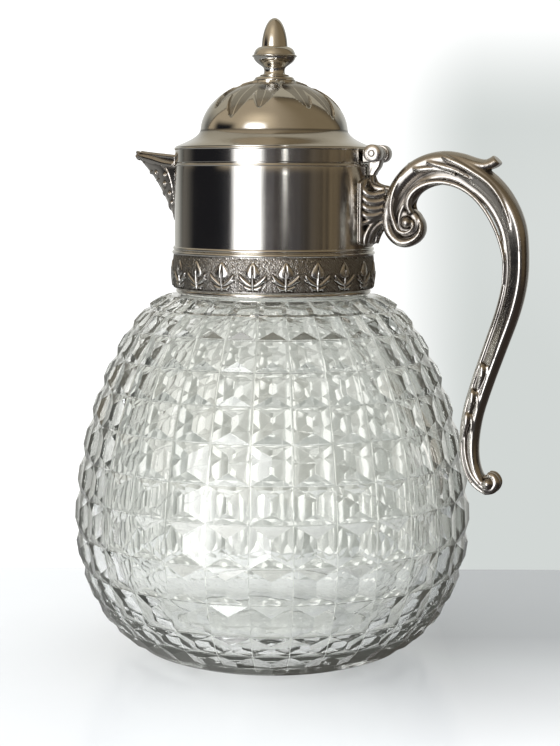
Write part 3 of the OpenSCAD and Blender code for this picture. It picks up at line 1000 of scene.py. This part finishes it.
# handle
grip = dict(
    grain=0.30,
    scroll=(57.1, 176.5),        # ball in the eye of the upper scroll
    curl=(91.2, 74.6),           # ball at the foot of the handle
    ballUpper=2.2,
    ballLower=2.1,
    scrollBoss=(5.6, 3.9, 2.2),  # radius, half width and rounding of the disc under the ball
    curlBoss=(3.4, 2.6, 0.9),
)
handleLine = [        # x, z, thickness and width along the handle's middle
    (60.4, 178.8, 3.1, 6.8), (61.6, 176.1, 3.9, 7.9), (61.1, 172.8, 5.0, 9.2), (58.4, 170.5, 6.1, 10.3),
    (54.6, 170.3, 7.4, 11), (51.6, 173.8, 8.6, 11.8),
    (51.2, 179.4, 9.6, 12.2), (53.0, 185.2, 11.0, 12.6), (56.7, 191.2, 12.0, 12.8), (62.4, 196.0, 12.4, 12.9),
    (69.6, 198.2, 12.3, 13.0), (77.6, 197.0, 12.2, 12.9), (84.6, 193.2, 12.0, 12.8), (90.6, 188.2, 11.8, 12.6),
    (95.4, 181.6, 11.4, 12.4), (98.7, 173.6, 10.8, 12.2), (100.0, 163.6, 10.0, 12.0), (99.7, 153.6, 9.8, 11.8),
    (97.3, 142.4, 9.6, 11.5), (92.8, 129.0, 9.2, 11.0), (87.9, 114.6, 8.8, 10.4), (84.2, 101.6, 8.3, 9.9),
    (82.9, 90.6, 7.8, 9.5), (83.7, 82.0, 7.2, 9.2), (86.4, 75.6, 6.4, 8.8), (90.6, 71.9, 4.8, 8.2)]
# half width of the section from the inner edge (-1) to the outer edge (1)
sectionTop = [(-1, 0), (-0.95, 0.34), (-0.82, 0.58), (-0.62, 0.72), (-0.42, 0.66), (-0.3, 0.58), (-0.16, 0.66),
              (0, 0.82), (0.2, 0.95), (0.42, 1.0), (0.62, 0.97), (0.8, 0.83), (0.93, 0.55), (1, 0)]
sectionShaft = [(-1, 0), (-0.95, 0.36), (-0.82, 0.6), (-0.66, 0.72), (-0.5, 0.68), (-0.4, 0.72), (-0.2, 0.82),
                (0, 0.88), (0.25, 0.95), (0.5, 1.0), (0.68, 0.95), (0.83, 0.78), (0.94, 0.5), (1, 0)]
sectionFoot = [(-1, 0), (-0.95, 0.4), (-0.82, 0.66), (-0.64, 0.76), (-0.46, 0.66), (-0.3, 0.72), (-0.1, 0.8),
               (0.1, 0.9), (0.3, 0.97), (0.5, 1.0), (0.68, 0.94), (0.83, 0.76), (0.94, 0.48), (1, 0)]


def sectionAt(share, count=40):        # blends the three sections along the handle
    n = np.linspace(-1, 1, count)
    n = np.sin(n * math.pi / 2)
    top, shaft, foot = (np.interp(n, *np.array(s).T) for s in (sectionTop, sectionShaft, sectionFoot))
    a = np.clip((share - 0.36) / 0.12, 0, 1)
    b = np.clip((share - 0.62) / 0.14, 0, 1)
    return n, (top * (1 - a) + shaft * a) * (1 - b) + foot * b


def handleBody():
    path = smoothPath(handleLine, 7)
    rows, count = [], 0
    for i, (x, z, thick, wide) in enumerate(path):
        ahead = path[min(i + 1, len(path) - 1), :2] - path[max(i - 1, 0), :2]
        ahead = ahead / np.linalg.norm(ahead)
        outward = np.array([-ahead[1], ahead[0]])
        n, w = sectionAt(i / (len(path) - 1))
        ring = [(a, b) for a, b in zip(n, w)] + [(a, -b) for a, b in zip(n[-2:0:-1], w[-2:0:-1])]
        count = len(ring)
        for a, b in ring:
            px, pz = np.array([x, z]) + outward * a * thick / 2
            rows.append((px * mm, b * wide / 2 * mm, pz * mm))
    faces = gridFaces(len(path), count, False, True)
    faces += [tuple(range(count))[::-1], tuple((len(path) - 1) * count + k for k in range(count))]
    return newPiece("handleBody", rows, faces, weld=1e-7)


def bothSides(points, steps=8):        # a rib of x, z, distance from the middle and radius, on both sides
    return [smoothPath([(x, side * y, z, r) for x, z, y, r in points], steps) for side in (-1, 1)]


def disc(name, x, z, radius, halfWidth, edge):        # a flat boss with a rounded edge, across the handle
    outline = [(0, -halfWidth)] + arcPoints((radius - edge, -halfWidth + edge), edge, edge, -90, 0, 6)
    outline += arcPoints((radius - edge, halfWidth - edge), edge, edge, 0, 90, 6) + [(0, halfWidth)]
    return layAcross(lathe(name, outline, None, 48), x, z)


def buildHandle():
    g = grip
    sx, sz = g["scroll"]
    cx, cz = g["curl"]
    parts = [handleBody()]
    paths = []
    # upper scroll: one rib winds in to the ball, another follows the inner edge down the shaft
    paths += bothSides([(59.3, 177.6, 4.6, 0.45), (59.9, 175.6, 4.9, 0.6), (58.9, 173.4, 5.1, 0.7),
                        (56.4, 172.4, 5.3, 0.75), (53.7, 173.6, 5.5, 0.85), (52.3, 176.8, 5.7, 0.9),
                        (51.3, 180.0, 5.8, 0.9), (51.1, 183.4, 5.9, 0.9), (51.9, 188.0, 5.9, 0.85),
                        (53.9, 192.6, 5.7, 0.8), (56.8, 196.6, 5.3, 0.7), (59.4, 198.6, 4.6, 0.5)])
    paths += bothSides([(58.8, 180.0, 3.7, 1.1), (57.5, 183.4, 4.2, 1.3), (58.6, 187.2, 4.5, 1.4),
                        (61.8, 190.2, 4.7, 1.3),
                        (66.6, 192.0, 4.8, 1.15), (72.2, 192.2, 4.8, 1.0), (78.4, 190.4, 4.7, 0.9),
                        (84.2, 186.4, 4.6, 0.8), (89.3, 180.2, 4.5, 0.75), (93.4, 172.2, 4.4, 0.7),
                        (95.9, 163.0, 4.3, 0.55), (95.8, 153.2, 4.2, 0.4)])
    # leaf lobes that curl over the side of the handle and run into its long edge
    paths += bothSides([(57.6, 199.6, 3.6, 0.6), (59.6, 197.8, 5.2, 1.0), (62.4, 197.2, 5.9, 1.15),
                        (66.6, 197.5, 6.0, 1.0), (71.5, 196.9, 5.9, 0.75), (77.0, 194.9, 5.4, 0.4)])
    paths += bothSides([(63.4, 202.2, 3.4, 0.7), (65.2, 200.4, 5.2, 1.05), (68.0, 199.3, 5.9, 1.2),
                        (72.0, 198.3, 6.1, 1.1), (77.5, 196.6, 6.0, 0.8), (83.0, 193.5, 5.4, 0.4)])
    paths += bothSides([(69.4, 203.4, 3.6, 0.7), (71.3, 202.3, 5.2, 1.05), (74.0, 201.1, 5.9, 1.2),
                        (78.4, 199.2, 6.2, 1.1), (83.6, 196.4, 6.3, 0.95), (89.5, 192.4, 6.2, 0.85),
                        (94.0, 187.2, 6.1, 0.8), (97.2, 180.4, 5.8, 0.6), (99.4, 171.6, 5.0, 0.35)])
    # buds down the inner side, each with a tail, and the fine rib that ends in the curl
    for x, z in ((88.6, 120.8), (84.9, 110.6), (82.8, 101.6)):
        paths += bothSides([(x - 0.2, z + 1.4, 4.5, 0.5), (x, z, 4.9, 1.15), (x - 0.1, z - 2.6, 4.9, 1.3),
                            (x - 0.9, z - 6.4, 4.5, 0.95), (x - 2.0, z - 10.5, 4.0, 0.5)])
        paths += bothSides([(x + 1.6, z + 0.4, 4.7, 0.4), (x + 2.0, z - 3.4, 4.8, 0.5),
                            (x + 1.4, z - 7.6, 4.5, 0.4)])
    paths += bothSides([(82.6, 98.0, 4.1, 0.6), (82.0, 90.8, 4.1, 0.75), (82.6, 84.6, 4.1, 0.8),
                        (84.6, 78.6, 4.0, 0.8), (87.6, 74.6, 3.8, 0.75), (90.6, 72.2, 3.5, 0.7),
                        (93.2, 73.2, 3.3, 0.6), (93.8, 75.6, 3.2, 0.5)])
    paths += bothSides([(89.6, 72.0, 1.9, 2.2), (92.8, 72.6, 1.9, 2.1), (94.2, 75.0, 1.9, 1.9),
                        (93.0, 77.4, 1.8, 1.6), (90.8, 78.0, 1.6, 1.2)])
    parts.append(ribs("handleRibs", paths))
    parts.append(disc("scrollBoss", sx, sz, *g["scrollBoss"]))
    parts.append(disc("curlBoss", cx, cz, *g["curlBoss"]))
    for side in (-1, 1):
        parts.append(ball("scrollBall", (sx, side * 4.6, sz), g["ballUpper"]))
        parts.append(ball("curlBall", (cx, side * 3.3, cz), g["ballLower"]))
    # thumb leaf along the top, turned up at its tip
    leafLine = [(57.5, 197.6, 2.4, 4.0), (60.4, 200.0, 3.0, 6.6), (66, 202.0, 3.6, 9.2),
                (72, 202.4, 4.2, 11.0), (78, 201.2, 4.8, 11.8), (83.4, 199.4, 5.0, 11.4),
                (87.4, 198.7, 5.0, 10.4), (90.2, 199.4, 5.4, 9.4), (91.9, 200.5, 5.4, 8.6),
                (92.4, 200.9, 4.4, 7.6)]
    flat = -0.62        # where the underside is cut level
    parts.append(ovalSweep("thumbLeaf", smoothPath(leafLine, 5),
                           lambda a: (max(math.cos(a), flat), math.sin(a)), 40))
    piece = castTogether("handleCasting", parts, g["grain"], 5, castSilver)
    return finishPiece(piece, "jug", "cast_silver", "handle")


buildHandle()
print("handle ready")


# bracket
saddle = dict(halfAngle=14.0, thick=0.95, low=166.4, top=194.2, grain=0.28)


def buildBracket():
    s = saddle
    turns = np.radians(np.linspace(-s["halfAngle"], s["halfAngle"], 33))
    rows = []
    for a in turns:
        narrow = 1 - 0.16 * abs(math.degrees(a) / s["halfAngle"]) ** 4
        middle = (s["low"] + s["top"]) / 2
        for r, z in ((sleeveR + 0.06, s["low"]), (sleeveR + s["thick"], s["low"] + 0.3),
                     (sleeveR + s["thick"], s["top"] - 0.3), (sleeveR + 0.06, s["top"])):
            rows.append((r * math.cos(a) * mm, r * math.sin(a) * mm, (middle + (z - middle) * narrow) * mm))
    faces = gridFaces(len(turns), 4, False, True)
    faces += [(3, 2, 1, 0), tuple(len(rows) - 4 + k for k in range(4))]
    parts = [newPiece("saddlePlate", rows, faces, weld=1e-7)]
    web = [(40.6, 181.6, 23.0, 13.6), (42.4, 182.0, 18.0, 12.0), (44.6, 182.6, 14.6, 10.6),
           (48.2, 183.0, 12.6, 9.6)]
    parts.append(ovalSweep("bracketWeb", smoothPath(web, 5), lambda a: (math.cos(a), math.sin(a)), 40))
    paths = []
    gadroons = [((39.9, 190.2), (43.7, 187.0), (48.6, 188.2)), ((39.7, 187.2), (43.9, 184.2), (48.4, 185.2)),
                ((39.6, 184.0), (43.9, 181.5), (48.0, 182.5)), ((39.6, 180.8), (43.6, 178.8), (47.6, 180.4))]
    for low, mid, high in gadroons:
        nearX, nearZ = (low[0] + mid[0]) / 2 - 0.2, (low[1] + mid[1]) / 2 - 0.7
        farX, farZ = (mid[0] + high[0]) / 2, (mid[1] + high[1]) / 2 - 0.3
        paths += bothSides([(*low, 8.2, 0.8), (nearX, nearZ, 7.6, 1.2), (*mid, 6.6, 1.45),
                            (farX, farZ, 5.8, 1.4), (*high, 5.2, 1.1)], 6)
    ribLines = [
        # lower arm, cusp and foot
        [(39.9, 176.0, 8.0, 0.8), (41.4, 176.4, 7.2, 1.0), (44.4, 177.9, 6.0, 1.2), (47.8, 178.6, 5.0, 1.0)],
        [(47.6, 176.6, 3.6, 1.5), (44.6, 174.6, 4.4, 1.7), (42.6, 171.4, 4.9, 1.7), (41.8, 167.9, 5.0, 1.3)],
        [(45.4, 177.4, 5.4, 0.8), (42.8, 174.6, 6.4, 0.9), (41.2, 170.8, 7.0, 0.9), (40.9, 167.6, 7.0, 0.7)],
        [(39.6, 176.6, 8.4, 0.7), (39.5, 172.2, 8.8, 0.8), (39.6, 167.8, 8.9, 0.7)],
        # upper horn from the strap down to the handle
        [(41.8, 195.4, 0.9, 1.0), (41.7, 193.6, 2.0, 1.2), (42.4, 191.4, 3.2, 1.3), (44.6, 189.9, 4.0, 1.5),
         (48.2, 189.4, 4.2, 1.3)],
        [(40.6, 193.6, 4.6, 0.8), (40.5, 191.6, 6.8, 0.9), (40.2, 189.4, 8.2, 0.8)],
    ]
    for line in ribLines:
        paths += bothSides(line, 6)
    parts.append(ribs("bracketRibs", paths))
    piece = castTogether("bracketCasting", parts, s["grain"], 4, castSilver)
    return finishPiece(piece, "jug", "cast_silver", "handle_bracket")


buildBracket()
print("bracket ready")


# hinge
hinge = dict(
    barrelR=3.0,
    barrelHole=1.3,
    earR=3.5,
    earHole=1.28,
    earDome=0.45,        # how far the outer face of an ear stands out
    pinR=1.25,
)


def plateAcross(name, outline, y0, y1, hole=0, edge=0, material=None):
    # an outline in (x, z) drawn out from y0 to y1, with a hole on the hinge axis
    mesh = bpy.data.meshes.new(name)
    with editing(mesh) as work:
        low, high = ([work.verts.new((x * mm, y * mm, z * mm)) for x, z in outline] for y in (y0, y1))
        work.faces.new(low)
        work.faces.new(high[::-1])
        for i in range(len(low)):
            j = (i + 1) % len(low)
            work.faces.new((low[j], low[i], high[i], high[j]))
        bmesh.ops.recalc_face_normals(work, faces=work.faces)
    piece = linked(name, mesh)
    if hole:
        turns = np.linspace(0, 2 * math.pi, 40, False)
        rim = [(hingeX + hole * math.cos(a), hingeZ + hole * math.sin(a)) for a in turns]
        carve(piece, plateAcross("cutter", rim, y0 - 1, y1 + 1))
    if edge:
        softenEdges(piece, edge)
    if material:
        piece.data.materials.clear()
        piece.data.materials.append(material)
        smoothed(piece, 34)
    return piece


def merge(piece, other):        # puts a second shell into the same piece
    with editing(piece.data) as work:
        work.from_mesh(other.data)
    bpy.data.objects.remove(other)


def hingeStrap():
    low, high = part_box("hinge_strap")
    foot, half = low.z / mm, high.y / mm
    outline = arcPoints((hingeX, hingeZ), hinge["barrelR"], hinge["barrelR"], -46, 205, 40)
    outline += [(hingeX - 2.9, hingeZ - 4.6), (hingeX - 2.9, foot), (hingeX - 0.9, foot),
                (hingeX - 0.3, hingeZ - 7.2), (hingeX + 1.2, hingeZ - 5.2)]
    piece = plateAcross("hingeStrap", outline, -half, half, hinge["barrelHole"], 0.25, castSilver)
    return finishPiece(piece, "jug", "cast_silver", "hinge_strap")


def hingeEar(node, side):        # side is -1 in front and 1 behind
    h = hinge
    low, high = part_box(node)
    y0, y1, left = low.y / mm, high.y / mm, low.x / mm
    outer = y0 if side < 0 else y1
    plate = (y0 + h["earDome"], y1) if side < 0 else (y0, y1 - h["earDome"])
    outline = arcPoints((hingeX, hingeZ), h["earR"], h["earR"], -100, 150, 40)
    outline += [(left + 1.1, hingeZ + 1.2), (left + 1.1, skirtLow + 0.3), (hingeX - 0.7, skirtLow + 0.3)]
    name = node.replace("hinge_ear_", "hingeEar")
    piece = plateAcross(name, outline, *plate, h["earHole"], 0.3, castSilver)
    hole = h["earHole"]
    face = [(hole, -0.6), (3.35, -0.6), (3.35, -0.42), (3.0, -0.26), (2.4, -0.1), (1.9, -0.02), (1.6, 0),
            (hole, -0.1)]
    boss = lathe("earFace", face, castSilver, 48)
    for v in boss.data.vertices:
        v.co = Vector((v.co.x + hingeX * mm, outer * mm + side * v.co.z, hingeZ * mm - side * v.co.y))
    merge(piece, boss)
    return finishPiece(piece, "lid", "cast_silver", node)


def hingePin():
    low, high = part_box("hinge_pin")
    edge = 0.4
    r = hinge["pinR"] - edge
    outline = [(0, low.y / mm)] + arcPoints((r, low.y / mm + edge), edge, edge, -90, 0, 5)
    outline += arcPoints((r, high.y / mm - edge), edge, edge, 0, 90, 5) + [(0, high.y / mm)]
    piece = layAcross(lathe("hingePin", outline, pinSteel, 40), hingeX, hingeZ)
    return finishPiece(piece, "lid", "steel_pin", "hinge_pin")


hingeStrap()
hingeEar("hinge_ear_front", -1)
hingeEar("hinge_ear_rear", 1)
hingePin()
for node, material in (("cement_bed", cementWhite), ("lid_locating_lip", sheetSilver),
                       ("finial_screw", screwBrass), ("finial_washer", screwBrass)):
    carried = frame["nodes"][node]
    carried.data.materials.clear()
    carried.data.materials.append(material)
print("hinge and hidden pieces ready")


# table, camera and light
view = dict(
    turn=20.0,           # of the camera round the jug, towards the handle side
    distance=687.4,
    height=193.4,
    pitch=6.58,
    sideways=2.86,
    roll=0.30,
    lens=81.33,
)
turn = math.radians(view["turn"])
towards = Vector((math.sin(turn), -math.cos(turn), 0))
rightward = Vector((math.cos(turn), math.sin(turn), 0))


def placeCamera():
    v = view
    camera = linked("camera", bpy.data.cameras.new("camera"))
    camera.data.lens = v["lens"]
    camera.data.sensor_width = 36
    pitch = math.radians(v["pitch"])
    forward = -towards * math.cos(pitch) - Vector((0, 0, math.sin(pitch)))
    up = rightward.cross(forward)
    roll = math.radians(v["roll"])
    tilted = up * math.cos(roll) - rightward * math.sin(roll)
    side = forward.cross(tilted)
    matrix = camera.matrix_world.to_3x3()
    matrix.col[0], matrix.col[1], matrix.col[2] = side, tilted, -forward
    camera.matrix_world = matrix.to_4x4()
    camera.location = towards * v["distance"] * mm + rightward * v["sideways"] * mm
    camera.location.z += v["height"] * mm
    bpy.context.scene.camera = camera


table = dict(
    back=139.0,          # from the jug's axis to the back edge
    front=900,
    wide=1300,
    thick=30,
    edge=1.5,
)


def placeTable():
    s = table
    f = Finish("paleTable")
    grain = f.noise(9, 4)
    dot = {"operation": "DOT_PRODUCT"}
    across = f.node("ShaderNodeVectorMath", dot, "Value", n0=f.place, n1=tuple(rightward))
    near = f.node("ShaderNodeVectorMath", dot, "Value", n0=f.place, n1=tuple(towards))
    # a soft shade painted on the right and back of the table
    shaded = ((across + 0.01) * 12).clamped() * ((0.13 - near) * 7).clamped()
    colour = f.blend(grain, (0.84, 0.86, 0.88, 1), (0.90, 0.915, 0.93, 1))
    colour = f.blend(shaded, colour, (0.35, 0.37, 0.385, 1))
    f.give(Base_Color=colour, Roughness=(0.16 + grain * 0.06), Specular_IOR_Level=0.6)
    back, front, wide = -s["back"], s["front"], s["wide"]
    corners = [(back, -wide), (back, wide), (front, wide), (front, -wide)]
    vertices = [towards * a * mm + rightward * b * mm + Vector((0, 0, z * mm))
                for z in (-s["thick"], 0) for a, b in corners]
    faces = [(3, 2, 1, 0), (4, 5, 6, 7)] + [(i, (i + 1) % 4, 4 + (i + 1) % 4, 4 + i) for i in range(4)]
    piece = newPiece("table", vertices, faces, f.material, weld=1e-6)
    softenEdges(piece, s["edge"])
    piece.visible_glossy = False        # metal and glass don't mirror it
    piece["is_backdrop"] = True


room = dict(
    window=(-43, -17),       # bearings between which the soft window stands, left of the camera
    windowLight=4.0,
    mottle=3.4,              # size of the pale and dark patches seen through the glass
    skylight=(0.52, 0.53, 0.54, 1),
)


def lightRoom():
    # an invented room, painted on the sky by direction. The camera, mirrored rays, rays through
    # the glass and scattered light each get a version of their own
    r = room
    world = bpy.data.worlds.new("room")
    world.use_nodes = True
    bpy.context.scene.world = world
    tree = world.node_tree
    background = tree.nodes["Background"]
    seen = addNode(tree, "ShaderNodeTexCoord").outputs["Generated"]

    def along(direction):
        settings = {"operation": "DOT_PRODUCT"}
        dot = addNode(tree, "ShaderNodeVectorMath", settings, n0=seen, n1=tuple(direction))
        return Field(tree, dot.outputs["Value"])

    def ramp(value, a, b, low=0.0, high=1.0):        # smooth step of a value
        settings = {"interpolation_type": "SMOOTHSTEP"}
        node = addNode(tree, "ShaderNodeMapRange", settings, n0=value, n1=float(a), n2=float(b), n3=low,
                       n4=high)
        return Field(tree, node.outputs[0])

    def mix(factor, first, second):
        node = addNode(tree, "ShaderNodeMix", {"data_type": "RGBA"}, n0=factor, n6=first, n7=second)
        return node.outputs[2]

    def zone(value, a, b, soft):
        return ramp(value, a - soft, a + soft) * ramp(value, b - soft, b + soft, 1.0, 0.0)

    facing, upward, sideways = along(towards), along((0, 0, 1)), along(rightward)
    bearing = sideways.maths("ARCTAN2", facing) * (180 / math.pi)
    rise = upward.maths("ARCSINE") * (180 / math.pi)
    away = bearing.maths("ABSOLUTE")
    beyond = facing - upward * 0.53        # below the edge: the wall and ceiling behind the jug
    streaky = addNode(tree, "ShaderNodeTexNoise", {"noise_dimensions": "1D"}, W=bearing * 0.12, Scale=1.0,
                      Detail=3.0, Roughness=0.6)
    stripes = Field(tree, streaky.outputs[0])
    cloudy = addNode(tree, "ShaderNodeTexNoise", {}, Vector=seen, Scale=r["mottle"], Detail=2.0)
    clouds = Field(tree, cloudy.outputs[0])

    # the dark room in front
    left = mix(ramp(bearing, -70, -20), (0.010, 0.011, 0.014, 1), (0.10, 0.095, 0.10, 1))
    left = mix(ramp(bearing, -128, -100, 1.0, 0.0), left, (0.14, 0.13, 0.115, 1))
    right = mix(ramp(bearing, 25, 75), (0.055, 0.052, 0.052, 1), (0.17, 0.13, 0.08, 1))
    right = mix(ramp(bearing, 103, 108), right, (0.045, 0.030, 0.018, 1))
    walls = mix(ramp(bearing, 0, 45), left, right)
    walls = mix(ramp(stripes, 0.42, 0.62) * ramp(bearing, -14, 10) * 0.8, walls, (0.028, 0.023, 0.019, 1))
    ceiling = mix(ramp(bearing, -20, 60), (0.40, 0.33, 0.235, 1), (0.20, 0.155, 0.095, 1))
    ceiling = mix(zone(bearing, -48, -8, 22) * zone(rise, 8, 46, 14), ceiling, (0.80, 0.66, 0.47, 1))
    corner = ramp(beyond, -0.64, -0.36, 0.55, 0.0) * ramp(bearing, 10, 60)
    ceiling = mix(corner, ceiling, (0.04, 0.03, 0.02, 1))
    front = mix(ramp(rise, 2, 8), walls, ceiling)
    figure = zone(bearing, -106, -66, 9) * ramp(rise, 12, 26, 1.0, 0.0)        # dark, beside the window
    front = mix(figure, front, (0.012, 0.012, 0.014, 1))
    window = zone(bearing, *r["window"], 9) * zone(rise, -25, 20, 9)
    front = mix(window, front, (r["windowLight"],) * 3 + (1,))
    lamp = zone(bearing, 10.5, 15, 1.0) * zone(rise, 0.4, 3.2, 0.4)
    front = mix(lamp, front, (3, 3, 2.9, 1))
    floor = mix(ramp(bearing, -10, 45), (0.26, 0.26, 0.25, 1), (0.045, 0.036, 0.03, 1))
    front = mix(ramp(rise, -16, -5, 1.0, 0.0) * ramp(away, 30, 60), front, floor)
    edge = zone(beyond, -0.655, -0.625, 0.012) * ramp(rise, -4, 4)
    front = mix(edge, front, (0.012, 0.010, 0.008, 1))

    # what polished metal shows of the room behind
    behind = mix(ramp(away, 131, 150), (0.13, 0.13, 0.12, 1), (0.48, 0.48, 0.45, 1))
    behind = mix(ramp(away, 150, 172), behind, (0.72, 0.72, 0.69, 1))
    behind = mix(ramp(rise, 8, 34), behind, (0.40, 0.365, 0.29, 1))
    behind = mix(ramp(rise, -16, -6, 1.0, 0.0), behind, (0.22, 0.22, 0.22, 1))
    mirrored = mix(ramp(beyond, -0.675, -0.645, 1.0, 0.0), front, behind)

    # what the eye sees past the jug, and what comes through the glass
    shade = ramp(sideways, 0.035, 0.12) * ramp(rise, 1.5, 7.5, 1.0, 0.0)
    shade = shade * (0.8 + clouds * 0.4)
    plain = mix(shade.clamped(), (1.25, 1.25, 1.25, 1), (0.645, 0.68, 0.665, 1))
    clear = mix(ramp(sideways, -0.34, 0.30), (0.88, 0.89, 0.87, 1), (0.34, 0.36, 0.345, 1))
    clear = mix(ramp(facing, -0.6, 0.5), clear, (0.46, 0.475, 0.445, 1))
    clear = mix(ramp(clouds, 0.50, 0.60) * 0.45, clear, (0.19, 0.20, 0.18, 1))
    clear = mix(ramp(clouds, 0.36, 0.43, 1.0, 0.0), clear, (1.25, 1.25, 1.24, 1))
    clear = mix(window, clear, (2.6, 2.6, 2.6, 1))

    ray = addNode(tree, "ShaderNodeLightPath").outputs
    final = mix(ray["Is Camera Ray"], mirrored, plain)
    final = mix(ray["Is Transmission Ray"], final, clear)
    final = mix(ray["Is Diffuse Ray"], final, r["skylight"])
    tree.links.new(final, background.inputs[0])


overhead = dict(height=1.6, size=1.6, power=26)        # metres and watts


def hangLight():
    light = bpy.data.lights.new("overhead", "AREA")
    light.shape = "RECTANGLE"
    light.size = light.size_y = overhead["size"]
    light.energy = overhead["power"]
    holder = linked("overhead", light)
    holder.location = (0, 0, overhead["height"])
    holder.rotation_euler = Vector((0, 0, -1)).to_track_quat("-Z", "Y").to_euler()
    holder.visible_glossy = False
    holder.visible_transmission = False


placeCamera()
placeTable()
lightRoom()
hangLight()
bpy.context.scene.view_settings.view_transform = "Standard"
print("table, camera and light ready")

boxes = dict(cad=[list(cadLow), list(cadHigh)], visual=[list(corner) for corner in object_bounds()])
for name, corners in boxes.items():
    print(name, [round(c / mm, 2) for corner in corners for c in corner])
